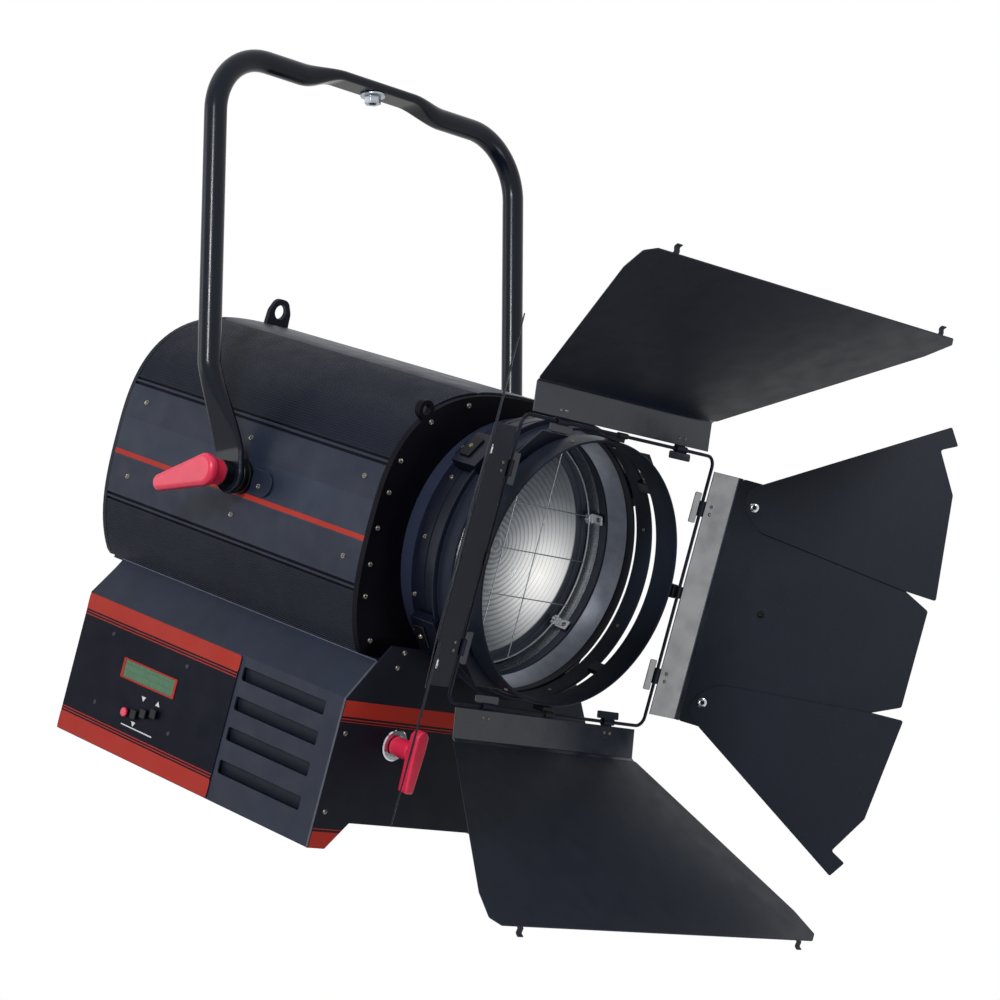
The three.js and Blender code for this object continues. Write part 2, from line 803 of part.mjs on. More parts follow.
function inPanel(solid, bend) {
  return solid.rotate(0, bend, 0).translate(stripWidth, 0, 0);
}

function leafPanel(leaf) {
  const half = leafThickness / 2;
  const points = [[0, leaf.bendHalf], ...leaf.side];
  return prismZ(outline([...mirrored(points), ...points]), -half, half);
}

function leafStrip(leaf) {
  const half = leafThickness / 2;
  return block(leafStart, stripWidth, -leaf.bendHalf, leaf.bendHalf, -half, half)
    .add(rodY(half, -leaf.bendHalf, leaf.bendHalf, stripWidth, 0, rodSides))
    .add(knuckle(knuckleSpread))
    .add(knuckle(-knuckleSpread));
}

function wideLeafSolid(bend) {
  const half = leafThickness / 2;
  let panel = leafPanel(wideLeaf);
  for (const side of [-1, 1]) {
    const middle = leafTabSpread * side;
    panel = panel.add(block(wideLeafReach - half, wideLeafReach + leafTabLength,
      middle - leafTabWidth / 2, middle + leafTabWidth / 2, -half, half));
  }
  return leafStrip(wideLeaf).add(inPanel(panel, bend));
}

// Each ear lies in its own layer on the beam side of the panel, so the two can pass each other
function earLayer(layer) {
  return -leafThickness / 2 - earGap - layer * (earThickness + earGap);
}

function earRivet(side, layer) {
  const top = earLayer(layer);
  const bottom = top - earThickness - earGap;
  const spread = earPivotSpread * side;
  return rodZ(rivetRadius, bottom - rivetHeadThickness, 0, earPivotReach, spread, rodSides)
    .add(rodZ(rivetHeadRadius, bottom - rivetHeadThickness, bottom, earPivotReach, spread, smallSides));
}

function sideLeafSolid(bend) {
  const panel = leafPanel(sideLeaf).add(earRivet(1, 0)).add(earRivet(-1, 1));
  return leafStrip(sideLeaf).add(inPanel(panel, bend));
}

function earSolid(side, layer) {
  const points = side > 0 ? earPoints : mirrored(earPoints);
  const top = earLayer(layer);
  const bore = rodZ(rivetRadius + seatGap, top - earThickness * 2, top + earThickness,
    earPivotReach, earPivotSpread * side, rodSides);
  return prismZ(outline(points), top - earThickness, top).subtract(bore);
}

function leafGroup(roll, stripAngle, meshes) {
  const hinge = new THREE.Group();
  hinge.position.set(hingeX, 0, hingeRadius);
  hinge.rotation.y = -THREE.MathUtils.degToRad(stripAngle);
  hinge.add(...meshes);
  const turned = new THREE.Group();
  turned.rotation.x = THREE.MathUtils.degToRad(roll);
  turned.add(hinge);
  return turned;
}

function earGroup(bend, meshes) {
  const group = new THREE.Group();
  group.position.set(stripWidth, 0, 0);
  group.rotation.y = THREE.MathUtils.degToRad(bend);
  group.add(...meshes);
  return group;
}

const topStripAngle = 99.4;
const topBendAngle = 63.2;
const bottomStripAngle = 76.7;
const bottomBendAngle = 47;
const farStripAngle = 68.4;
const nearStripAngle = 89.2;
const sideBendAngle = 43.6;

function barnDoor() {
  const group = new THREE.Group();
  const farEars = earGroup(sideBendAngle, [
    part('ear_far_lower', earSolid(1, 0), leafBlack),
    part('ear_far_upper', earSolid(-1, 1), leafBlack),
  ]);
  const nearEars = earGroup(sideBendAngle, [
    part('ear_near_upper', earSolid(1, 0), leafBlack),
    part('ear_near_lower', earSolid(-1, 1), leafBlack),
  ]);
  group.add(
    part('barndoor_ring', barnDoorRing(), ringBlue),
    part('hinge_frame', hingeFrame(), powderBlack),
    leafGroup(0, topStripAngle, [part('leaf_top', wideLeafSolid(topBendAngle), leafBlack)]),
    leafGroup(180, bottomStripAngle, [part('leaf_bottom', wideLeafSolid(bottomBendAngle), leafBlack)]),
    leafGroup(-90, farStripAngle, [part('leaf_far', sideLeafSolid(sideBendAngle), leafBlack), farEars]),
    leafGroup(90, nearStripAngle, [part('leaf_near', sideLeafSolid(sideBendAngle), leafBlack), nearEars]),
  );
  return group;
}

// Base box of folded sheets
const footHalfInner = 172;
const footSlopeHalf = 145;
const sideTop = baseSeatHeight - seatGap;
const endPlateWall = 3;
const baseSheetFront = baseFront - endPlateWall - seatGap;
const baseSheetRear = baseRear + endPlateWall + seatGap;
const hornHalfWidth = 150;
const hornTop = -128;
const ventFront = -4;
const ventRear = -150;
const ventTopShares = [0.07, 0.274, 0.484, 0.712];
const ventHeight = 15.5;

function foldedStrip(points, wall) {
  const inner = points.map((point, i) => {
    const before = points[Math.max(i - 1, 0)];
    const after = points[Math.min(i + 1, points.length - 1)];
    const arrive = i > 0 ? direction(before, point) : direction(point, after);
    const leave = i < points.length - 1 ? direction(point, after) : arrive;
    const [nx, nz] = [-arrive[1] - leave[1], arrive[0] + leave[0]];
    const scale = (2 * wall) / (nx * nx + nz * nz);
    return [point[0] + nx * scale, point[1] + nz * scale];
  });
  return outline([...points, ...inner.reverse()]);
}

function direction(from, to) {
  const [dx, dz] = [to[0] - from[0], to[1] - from[1]];
  const length = Math.hypot(dx, dz);
  return [dx / length, dz / length];
}

function vents(side) {
  const y = baseHalfWidth * side;
  const slots = ventTopShares.map((share) => {
    const top = THREE.MathUtils.lerp(baseShoulder, baseBottom, share);
    return block(ventRear, ventFront, y - sheetWall * 2, y + sheetWall * 2, top - ventHeight, top);
  });
  return slots.reduce((all, slot) => all.add(slot));
}

function baseSide(side) {
  const fold = [[baseHalfWidth, baseBottom], [baseHalfWidth, baseShoulder], [baseTopHalfWidth, sideTop]];
  const placed = fold.map(([y, z]) => [y * side, z]);
  const path = side > 0 ? placed : placed.reverse();
  return prismX(foldedStrip(path, sheetWall), baseSheetRear, baseSheetFront).subtract(vents(side));
}

function nearBaseSide() {
  return baseSide(-1).subtract(keyHoles()).subtract(displayOpening(seatGap));
}

function keyHoles() {
  const keys = keyPlaces.map(([x, z]) => rodY(keyStemRadius + runGap, -baseHalfWidth - sheetWall * 2,
    -baseHalfWidth + sheetWall * 2, x, z, smallSides));
  return keys.reduce((all, hole) => all.add(hole));
}

function baseBottomPlate() {
  const half = baseHalfWidth - sheetWall - seatGap;
  const path = [[-half, baseBottom], [-footHalfInner, baseBottom], [-footSlopeHalf, baseFloor],
    [footSlopeHalf, baseFloor], [footHalfInner, baseBottom], [half, baseBottom]];
  return prismX(foldedStrip(path, sheetWall), baseSheetRear, baseSheetFront);
}

function baseFrontPlate() {
  const low = baseFront - endPlateWall;
  const plate = outline([
    [-baseHalfWidth, baseBottom], [-footHalfInner, baseBottom], [-footSlopeHalf, baseFloor],
    [footSlopeHalf, baseFloor], [footHalfInner, baseBottom], [baseHalfWidth, baseBottom],
    [baseHalfWidth, baseShoulder], [hornHalfWidth, hornTop], [-hornHalfWidth, hornTop],
    [-baseHalfWidth, baseShoulder],
  ]);
  const neck = rodX(lensTubeDiameter / 2 + runGap, low - cutOverrun, baseFront + cutOverrun,
    0, 0, roundSides);
  const knobHole = rodX(focusScrewDiameter / 2 + runGap, low - cutOverrun, baseFront + cutOverrun,
    focusY, focusZ, smallSides);
  return prismX(plate, low, baseFront).subtract(neck).subtract(knobHole);
}

const socketWidth = 26;
const socketHeight = 31;
const socketFlange = 2.5;
const socketBarrelRadius = 11.5;
const socketBarrelDepth = 24;
const socketBoreRadius = 8.5;
const socketBoreDepth = 16;
const socketZ = -270;
const inletY = 110;
const dataY = -80;
const dataSpacing = 40;

function baseRearPlate() {
  const high = baseRear + endPlateWall;
  const top = chassisTop - sheetWall - seatGap;
  const plate = outline([
    [-baseHalfWidth, baseBottom], [-footHalfInner, baseBottom], [-footSlopeHalf, baseFloor],
    [footSlopeHalf, baseFloor], [footHalfInner, baseBottom], [baseHalfWidth, baseBottom],
    [baseHalfWidth, baseShoulder], [chassisHalfWidth, top], [-chassisHalfWidth, top],
    [-baseHalfWidth, baseShoulder],
  ]);
  let solid = prismX(plate, baseRear, high);
  for (const y of [inletY, dataY - dataSpacing / 2, dataY + dataSpacing / 2]) {
    solid = solid.subtract(rodX(socketBarrelRadius + seatGap * 2, baseRear - cutOverrun, high + cutOverrun,
      y, socketZ, mediumSides));
  }
  return solid;
}

function socket(y, halfWidth) {
  const face = baseRear - seatGap - socketFlange;
  const flange = block(face, baseRear - seatGap, y - halfWidth, y + halfWidth,
    -socketHeight / 2, socketHeight / 2);
  return flange
    .add(rodX(socketBarrelRadius, face, face + socketBarrelDepth, y, 0, socketSides))
    .subtract(rodX(socketBoreRadius, face - cutOverrun, face + socketBoreDepth, y, 0, socketSides))
    .translate(0, 0, socketZ);
}

// Both data sockets sit in one moulding
function dataSockets() {
  const half = dataSpacing / 2;
  const width = half + seatGap;
  return socket(dataY - half, width).add(socket(dataY + half, width));
}

// Control panel on the near side
const panelFace = -baseHalfWidth - seatGap;
const overlayFace = panelFace - overlayThickness;
const bezelRim = 4;
const bezelDepth = 0.8;
const overlayInset = 1;
const keyStemRadius = 3.2;
const keyCapDepth = 3;
const keyCapGap = 0.4;
const boardFace = -189;
const boardThickness = 1.6;
const boardPostRadius = 3;
const boardMargin = 14;
// The keys lie below the display, at shares of its width from its centre
const keyShares = [[-0.245, -0.471], [-0.072, -0.452], [0.091, -0.399], [0.264, -0.351]];
const keyPlaces = keyShares.map(([along, up]) => [
  displayCentreX + displayWidth * along,
  displayCentreZ + displayWidth * up,
]);
const keyNames = ['menu_key', 'down_key', 'enter_key', 'up_key'];

function controlOverlay() {
  const film = block(overlayRear, overlayFront, overlayFace, panelFace, baseBottom + overlayInset,
    baseShoulder - overlayInset);
  const bezel = block(displayCentreX - displayWidth / 2, displayCentreX + displayWidth / 2,
    overlayFace - bezelDepth, panelFace,
    displayCentreZ - displayHeight / 2, displayCentreZ + displayHeight / 2);
  return film.add(bezel).subtract(displayOpening(seatGap)).subtract(keyHoles());
}

function displayOpening(margin) {
  const halfWidth = displayWidth / 2 - bezelRim + margin;
  const halfHeight = displayHeight / 2 - bezelRim / 2 + margin;
  return block(displayCentreX - halfWidth, displayCentreX + halfWidth, overlayFace - cutOverrun * 2,
    sheetWall * 2 - baseHalfWidth, displayCentreZ - halfHeight, displayCentreZ + halfHeight);
}

function displayGlass() {
  const halfWidth = displayWidth / 2 - bezelRim;
  const halfHeight = displayHeight / 2 - bezelRim / 2;
  return block(displayCentreX - halfWidth, displayCentreX + halfWidth, overlayFace,
    boardFace, displayCentreZ - halfHeight, displayCentreZ + halfHeight);
}

function controlKey([x, z], isRound) {
  const capFoot = overlayFace - keyTravel - keyCapGap;
  const capTop = capFoot - keyCapDepth;
  const half = keyDiameter / 2;
  const cap = isRound
    ? rodY(half, capTop, capFoot, x, z, mediumSides)
    : block(x - half, x + half, capTop, capFoot, z - half, z + half);
  return cap.add(rodY(keyStemRadius, capTop, boardFace - boardThickness - keyTravel - keyCapGap, x, z,
    smallSides));
}

function displayModule() {
  const [low, high] = [displayCentreX - displayWidth / 2 - boardMargin, displayCentreX + displayWidth / 2];
  const top = displayCentreZ + displayHeight / 2 + boardMargin;
  const bottom = keyPlaces[0][1] - boardMargin;
  let board = block(low, high, boardFace - boardThickness, boardFace, bottom, top);
  for (const x of [low + boardPostRadius, high - boardPostRadius]) {
    for (const z of [bottom + boardPostRadius, top - boardPostRadius]) {
      board = board.add(rodY(boardPostRadius, sheetWall + seatGap - baseHalfWidth, boardFace, x, z,
        rodSides));
    }
  }
  return board.add(displayGlass());
}

// Focus drive
const escutcheonRadius = 18.5;
const escutcheonDepth = 2.2;
const knobHubRadius = 11;
const knobBack = baseFront + seatGap + escutcheonDepth + runGap;
const knobBarBack = 54;
const knobFront = 69;
const knobBarHalf = 8.5;
const knobTail = 45;
const knobHead = 27;
const knobTailHalf = 6;
const knobBoreDepth = 20;
const screwRear = -340;
const bearingRear = -338;
const bearingThickness = 6;
const armPlateHalf = 11;
const armThickness = 8;
const ledThickness = 10;
const ledHalf = 45;
const ledDomeRadius = 36;
const ledDomeHeight = 3;
const carriagePlate = 6;
const carriageDepth = 60;
const carriageHalfHeight = 8;
const carriagePlateHalf = 60;
const carriagePlateTop = 70;
const nutMargin = 13;

function carriageFace() {
  return ledFaceX - ledThickness - seatGap;
}

function carriageArmX() {
  return carriageFace() - carriageDepth / 2;
}

function knobEscutcheon() {
  const low = baseFront + seatGap;
  return ringX(escutcheonRadius, focusScrewDiameter / 2 + runGap, low, low + escutcheonDepth, mediumSides)
    .translate(0, focusY, focusZ);
}

function focusKnob() {
  const bar = outline([
    [-knobTailHalf, -knobTail], [knobTailHalf, -knobTail], [knobBarHalf, 0],
    [knobBarHalf, knobHead - knobTailHalf], [knobTailHalf / 2, knobHead], [-knobTailHalf / 2, knobHead],
    [-knobBarHalf, knobHead - knobTailHalf], [-knobBarHalf, 0],
  ]);
  const bore = rodX(focusScrewDiameter / 2 + seatGap, knobBack - cutOverrun, knobBack + knobBoreDepth, 0, 0,
    smallSides);
  return rodX(knobHubRadius, knobBack, knobFront, 0, 0, mediumSides)
    .add(prismX(bar, knobBarBack, knobFront))
    .subtract(bore)
    .translate(0, focusY, focusZ);
}

function focusScrew() {
  return rodX(focusScrewDiameter / 2, screwRear, knobBack + knobBoreDepth - seatGap, focusY, focusZ,
    smallSides);
}

function screwBearing() {
  const half = armPlateHalf;
  return block(bearingRear, bearingRear + bearingThickness, focusY - half, focusY + half,
    focusZ - nutMargin, chassisTop - sheetWall / 2)
    .subtract(rodX(focusScrewDiameter / 2 + seatGap, bearingRear - cutOverrun,
      bearingRear + bearingThickness + cutOverrun, focusY, focusZ, smallSides));
}

function focusCarriage() {
  const face = carriageFace();
  const reach = guideSpread + nutMargin;
  const armX = carriageArmX();
  const bed = block(face - carriageDepth, face, -reach, reach, guideZ - carriageHalfHeight,
    guideZ + carriageHalfHeight);
  const plate = block(face - carriagePlate, face, -carriagePlateHalf, carriagePlateHalf, guideZ,
    carriagePlateTop);
  const arm = block(armX - armThickness / 2, armX + armThickness / 2, focusY - armPlateHalf,
    focusY + armPlateHalf, focusZ - nutMargin, guideZ);
  let carriage = bed.add(plate).add(arm);
  for (const side of [-1, 1]) {
    carriage = carriage.subtract(rodX(guideDiameter / 2 + seatGap, face - carriageDepth - cutOverrun,
      face + cutOverrun, guideSpread * side, guideZ, smallSides));
  }
  return carriage.subtract(rodX(focusScrewDiameter / 2 + seatGap, face - carriageDepth, face,
    focusY, focusZ, smallSides));
}

function guideRod(side) {
  const low = -housingLength + plateWall + seatGap;
  return rodX(guideDiameter / 2, low, -flangeThickness - seatGap, guideSpread * side, guideZ, smallSides);
}

function ledArray() {
  return block(ledFaceX - ledThickness, ledFaceX, -ledHalf, ledHalf, -ledHalf, ledHalf)
    .add(rodX(ledDomeRadius, ledFaceX - ledThickness, ledFaceX + ledDomeHeight, 0, 0, mediumSides));
}

const sinkDepth = 80;
const sinkBase = 9;
const sinkFins = 9;
const sinkFinThickness = 3;
const sinkHalfWidth = 58;

function heatSink() {
  const front = carriageFace() - carriagePlate - seatGap;
  const pitch = (sinkHalfWidth * 2 - sinkFinThickness) / (sinkFins - 1);
  let sink = block(front - sinkBase, front, -sinkHalfWidth, sinkHalfWidth, -sinkHalfWidth, sinkHalfWidth);
  for (let i = 0; i < sinkFins; i += 1) {
    const low = -sinkHalfWidth + pitch * i;
    sink = sink.add(block(front - sinkDepth, front, low, low + sinkFinThickness, -sinkHalfWidth,
      sinkHalfWidth));
  }
  return sink;
}

// The driver box is a cover, open towards the base floor it stands on
const driverRear = -430;
const driverFront = -70;
const driverLowY = -50;
const driverHighY = 165;
const driverHeight = 110;
const driverWall = 2;

function driverBox() {
  const low = baseFloor + sheetWall + seatGap;
  const high = low + driverHeight;
  const room = block(driverRear + driverWall, driverFront - driverWall, driverLowY + driverWall,
    driverHighY - driverWall, low - cutOverrun, high - driverWall);
  return block(driverRear, driverFront, driverLowY, driverHighY, low, high).subtract(room);
}

// Tilt pivot
const boltInner = 188;
const boltHeadRadius = 14;
const boltHeadThickness = 4;
const discRadius = 21;
const stopFront = -178;
const stopHalf = 15;
const stopThickness = 3;
const washerRadius = 13;
const washerThickness = 2;
const hexRadius = 11;
const hexHeight = 9;
const armOuterFace = armBladeSpread + armBladeThickness / 2;

function pivotBolt(side, outerEnd) {
  const shaft = [boltInner, outerEnd];
  const head = [boltInner, boltInner + boltHeadThickness];
  const [shaftLow, shaftHigh] = sided(shaft, side);
  const [headLow, headHigh] = sided(head, side);
  return rodY(pivotBoltDiameter / 2, shaftLow, shaftHigh, pivotX, 0, smallSides)
    .add(rodY(boltHeadRadius, headLow, headHigh, pivotX, 0, mediumSides));
}

function sided([inner, outer], side) {
  return side > 0 ? [inner, outer] : [-outer, -inner];
}

function farPivotBolt() {
  const washer = armOuterFace + runGap;
  const washerTop = washer + washerThickness;
  const [shoulderLow, shoulderHigh] = discSpan;
  return pivotBolt(1, washerTop + hexHeight)
    .add(rodY(discRadius, shoulderLow, shoulderHigh, pivotX, 0, mediumSides))
    .add(rodY(washerRadius, washer, washerTop, pivotX, 0, mediumSides))
    .add(rodY(hexRadius, washer + washerThickness / 2, washerTop + hexHeight, pivotX, 0, hexSides));
}

const discSpan = [housingHalfWidth + seatGap, armBladeSpread - armBladeThickness / 2 - runGap];

function frictionDisc() {
  const [low, high] = sided(discSpan, -1);
  const bore = rodY(pivotBoltDiameter / 2 + seatGap, low - cutOverrun, high + cutOverrun, pivotX, 0,
    smallSides);
  return rodY(discRadius, low, high, pivotX, 0, mediumSides).subtract(bore);
}

function tiltStopPlate() {
  const y = -housingHalfWidth - seatGap;
  const shape = new THREE.Shape();
  shape.moveTo(pivotX + discRadius + runGap, -stopHalf);
  shape.lineTo(stopFront - stopHalf, -stopHalf);
  shape.absarc(stopFront - stopHalf, 0, stopHalf, -quarterTurn, quarterTurn);
  shape.lineTo(pivotX + discRadius + runGap, stopHalf);
  shape.closePath();
  return prismY(shape, y - stopThickness, y);
}

// The lever is drawn in the yoke's frame, with its origin on the pivot
const leverHubRadius = 15;
const leverHubBack = -armOuterFace - runGap;
const leverPaddleBack = -249;
const leverPaddleFront = -263;
const leverHeadRadius = 19;
const leverTipRadius = 15;
const leverReach = 72;
const leverBoltEnd = 243;

function tiltLockHandle() {
  const shape = new THREE.Shape();
  shape.absarc(0, 0, leverHeadRadius, -quarterTurn, quarterTurn);
  shape.absarc(-leverReach, 0, leverTipRadius, quarterTurn, quarterTurn * 3);
  shape.closePath();
  return prismY(shape, leverPaddleFront, leverPaddleBack)
    .add(rodY(leverHubRadius, leverPaddleBack - joinDepth, leverHubBack, 0, 0, mediumSides))
    .subtract(rodY(pivotBoltDiameter / 2 + seatGap, -leverBoltEnd - runGap, leverHubBack + cutOverrun, 0, 0,
      smallSides));
}

// Yoke tube: sections lofted along the frame, from the far arm's end over the top to the near one.
// Each section is a stadium, round where both half sizes are equal.
const arcShares = [0.88, 0.67, 0.44, 0.22, 0];
const leanShares = [0.25, 0.5, 0.75, 1];
const bendSteps = 6;
const flatShares = [0.33, 0.67, 1];

function halfYokeStations() {
  const tube = yokeTubeDiameter / 2;
  const blade = { u: armBladeThickness / 2, v: armBladeWidth / 2 };
  const stations = [];
  for (const share of arcShares) {
    const angle = share * quarterTurn;
    stations.push({
      y: armBladeSpread,
      z: -blade.v * Math.sin(angle),
      u: blade.u,
      v: blade.v * Math.cos(angle),
    });
  }
  stations.push({ y: armBladeSpread, z: armBladeTop, u: blade.u, v: blade.v });
  for (const share of leanShares) {
    const eased = THREE.MathUtils.smoothstep(share, 0, 1);
    stations.push({
      y: THREE.MathUtils.lerp(armBladeSpread, yokeArmSpread, share),
      z: THREE.MathUtils.lerp(armBladeTop, armLeanTop, share),
      u: THREE.MathUtils.lerp(blade.u, tube, eased),
      v: THREE.MathUtils.lerp(blade.v, tube, eased),
    });
  }
  for (let i = 0; i <= bendSteps; i += 1) {
    const angle = (quarterTurn * i) / bendSteps;
    stations.push({
      y: yokeArmSpread - yokeBendRadius * (1 - Math.cos(angle)),
      z: yokeBarHeight - yokeBendRadius * (1 - Math.sin(angle)),
      u: tube,
      v: tube,
    });
  }
  const flat = { u: yokeFlatThickness / 2, v: yokeFlatWidth / 2, z: yokeHeight - yokeFlatThickness / 2 };
  stations.push({ y: yokeFlatHalfLength + yokeFlatRunOut, z: yokeBarHeight, u: tube, v: tube });
  for (const share of flatShares) {
    const eased = THREE.MathUtils.smoothstep(share, 0, 1);
    stations.push({
      y: yokeFlatHalfLength + yokeFlatRunOut * (1 - share),
      z: THREE.MathUtils.lerp(yokeBarHeight, flat.z, eased),
      u: THREE.MathUtils.lerp(tube, flat.u, eased),
      v: THREE.MathUtils.lerp(tube, flat.v, eased),
    });
  }
  return stations;
}

function yokeStations() {
  const half = halfYokeStations();
  const other = half.map((station) => ({ ...station, y: -station.y })).reverse();
  return [...half, ...other];
}

function stadiumRing(station, before, after) {
  const [ty, tz] = direction([before.y, before.z], [after.y, after.z]);
  const flatHalf = Math.max(station.v - station.u, 0);
  const roundRadius = Math.min(station.u, station.v);
  const ring = [];
  for (let i = 0; i < yokeSides; i += 1) {
    const angle = (fullTurn * (i + 0.5)) / yokeSides;
    const x = Math.sin(angle) * roundRadius + Math.sign(Math.sin(angle)) * flatHalf;
    const normal = (Math.cos(angle) * station.u) / Math.cos(Math.PI / yokeSides);
    ring.push(x, station.y + tz * normal, station.z - ty * normal);
  }
  return ring;
}

function loftedSolid(stations) {
  const places = [];
  stations.forEach((station, i) => {
    const before = stations[Math.max(i - 1, 0)];
    const after = stations[Math.min(i + 1, stations.length - 1)];
    places.push(...stadiumRing(station, before, after));
  });
  const corners = [];
  const rings = stations.length;
  for (let i = 0; i < rings - 1; i += 1) {
    for (let j = 0; j < yokeSides; j += 1) {
      const k = (j + 1) % yokeSides;
      const [a, b] = [i * yokeSides + j, i * yokeSides + k];
      const [c, d] = [a + yokeSides, b + yokeSides];
      corners.push(a, b, d, a, d, c);
    }
  }
  const last = (rings - 1) * yokeSides;
  for (let j = 1; j < yokeSides - 1; j += 1) {
    corners.push(0, j + 1, j);
    corners.push(last, last + j, last + j + 1);
  }
  const geometry = new THREE.BufferGeometry();
  geometry.setAttribute('position', new THREE.Float32BufferAttribute(places, 3));
  geometry.setIndex(corners);
  return toSolid(geometry);
}

function yokeTube() {
  const clampHole = rodZ(clampHoleDiameter / 2, yokeHeight - yokeFlatThickness - cutOverrun,
    yokeHeight + cutOverrun, 0, 0, smallSides);
  const reach = yokeArmSpread + yokeTubeDiameter;
  const pivotHole = rodY(pivotBoltDiameter / 2 + seatGap, -reach, reach, 0, 0, smallSides);
  return loftedSolid(yokeStations()).subtract(clampHole).subtract(pivotHole);
}

// Clamp nut under the flattened top
const nutWasherRadius = 15.5;
const nutWasherThickness = 3;
const nutRadius = 10.5;
const nutHeight = 9;
const nutBoreRadius = 5;

function clampNut() {
  const top = yokeHeight - yokeFlatThickness - seatGap;
  const washerFoot = top - nutWasherThickness;
  return rodZ(nutWasherRadius, washerFoot, top, 0, 0, mediumSides)
    .add(rodZ(nutRadius, washerFoot - nutHeight, washerFoot + seatGap, 0, 0, hexSides))
    .subtract(rodZ(nutBoreRadius, washerFoot - nutHeight - cutOverrun, top + cutOverrun, 0, 0, smallSides));
}

// Assembly
const clipDegrees = THREE.MathUtils.radToDeg(quarterTurn - clipAngle);
const farClipDegrees = 210;

function housing() {
  const group = new THREE.Group();
  group.add(
    part('top_shell', topShell(), crownGrey),
    part('upper_rib_near', upperRib(-1), powderBlack),
    part('upper_rib_far', upperRib(1), powderBlack),
    part('side_panel_near', sidePanel(-1), powderGrey),
    part('side_panel_far', sidePanel(1), powderGrey),
    part('lower_rib_near', lowerRib(-1), powderBlack),
    part('lower_rib_far', lowerRib(1), powderBlack),
    part('front_flange', frontFlange(), flangeBlack),
    part('rear_plate', rearPlate(), powderBlack),
    part('fan_frame', fanFrame(), blackPlastic),
    part('fan_rotor', fanRotor(), blackPlastic),
    part('chassis_plate', chassisPlate().add(screwBearing()), aluminium),
  );
  return group;
}

function optics() {
  const group = new THREE.Group();
  group.add(
    part('lens_tube', lensTube(), powderBlack),
    part('lens_cell', lensCell(), aluminium),
    part('fresnel_lens', fresnelLens(), clearGlass),
    part('wire_guard', wireGuard(), zinc),
    part('accessory_ring', accessoryRing().add(latchBase(-clipDegrees)), ringBlue),
    part('clip_near_upper', accessoryClip(clipDegrees), powderBlack),
    part('clip_near_lower', accessoryClip(180 - clipDegrees), powderBlack),
    part('clip_far_lower', accessoryClip(farClipDegrees), powderBlack),
    part('accessory_latch', latchLever(-clipDegrees), powderBlack),
  );
  return group;
}

function base() {
  const group = new THREE.Group();
  group.add(
    part('base_side_near', nearBaseSide(), powderBlack),
    part('base_side_far', baseSide(1), powderBlack),
    part('base_bottom', baseBottomPlate(), powderBlack),
    part('base_front_plate', baseFrontPlate(), flangeBlack),
    part('base_rear_plate', baseRearPlate(), powderBlack),
    part('control_overlay', controlOverlay(), overlayFilm),
    part('display_module', displayModule(), displayGreen),
    part('driver_box', driverBox(), aluminium),
  );
  keyNames.forEach((name, i) => {
    group.add(part(name, controlKey(keyPlaces[i], i === 0), i === 0 ? redPlastic : blackPlastic));
  });
  group.add(
    part('power_inlet', socket(inletY, socketWidth / 2), blackPlastic),
    part('data_sockets', dataSockets(), blackPlastic),
  );
  return group;
}

function focusDrive() {
  const group = new THREE.Group();
  group.add(
    part('knob_escutcheon', knobEscutcheon(), chrome),
    part('focus_knob', focusKnob(), redPlastic),
    part('focus_screw', focusScrew(), zinc),
    part('focus_carriage', focusCarriage(), aluminium),
    part('guide_rod_near', guideRod(-1), chrome),
    part('guide_rod_far', guideRod(1), chrome),
    part('led_array', ledArray(), ledYellow),
    part('heat_sink', heatSink(), aluminium),
  );
  return group;
}

function tiltPivot() {
  const group = new THREE.Group();
  group.add(
    part('pivot_bolt_near', pivotBolt(-1, leverBoltEnd), zinc),
    part('pivot_bolt_far', farPivotBolt(), zinc),
    part('friction_disc', frictionDisc(), blackPlastic),
    part('tilt_stop_plate', tiltStopPlate(), powderGrey),
  );
  return group;
}

const head = new THREE.Group();
head.add(housing(), optics(), base(), focusDrive(), tiltPivot(), barnDoor());
head.position.set(-pivotX, 0, 0);

const tilted = new THREE.Group();
tilted.rotation.y = headTilt;
tilted.add(head);

const light = new THREE.Group();
light.position.set(0, 0, -yokeHeight);
light.add(
  tilted,
  part('yoke_tube', yokeTube(), yokeBlack),
  part('clamp_nut', clampNut(), zinc),
  part('tilt_lock_handle', tiltLockHandle(), redPlastic),
);

export default light;
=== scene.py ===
# %% [markdown]
# # LED fresnel light on a yoke
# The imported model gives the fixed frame: where every piece sits and what it moves with. This script
# dresses it.

# %% Open the frame
import json
import math

import bmesh
import bpy
from mathutils import Matrix, Vector


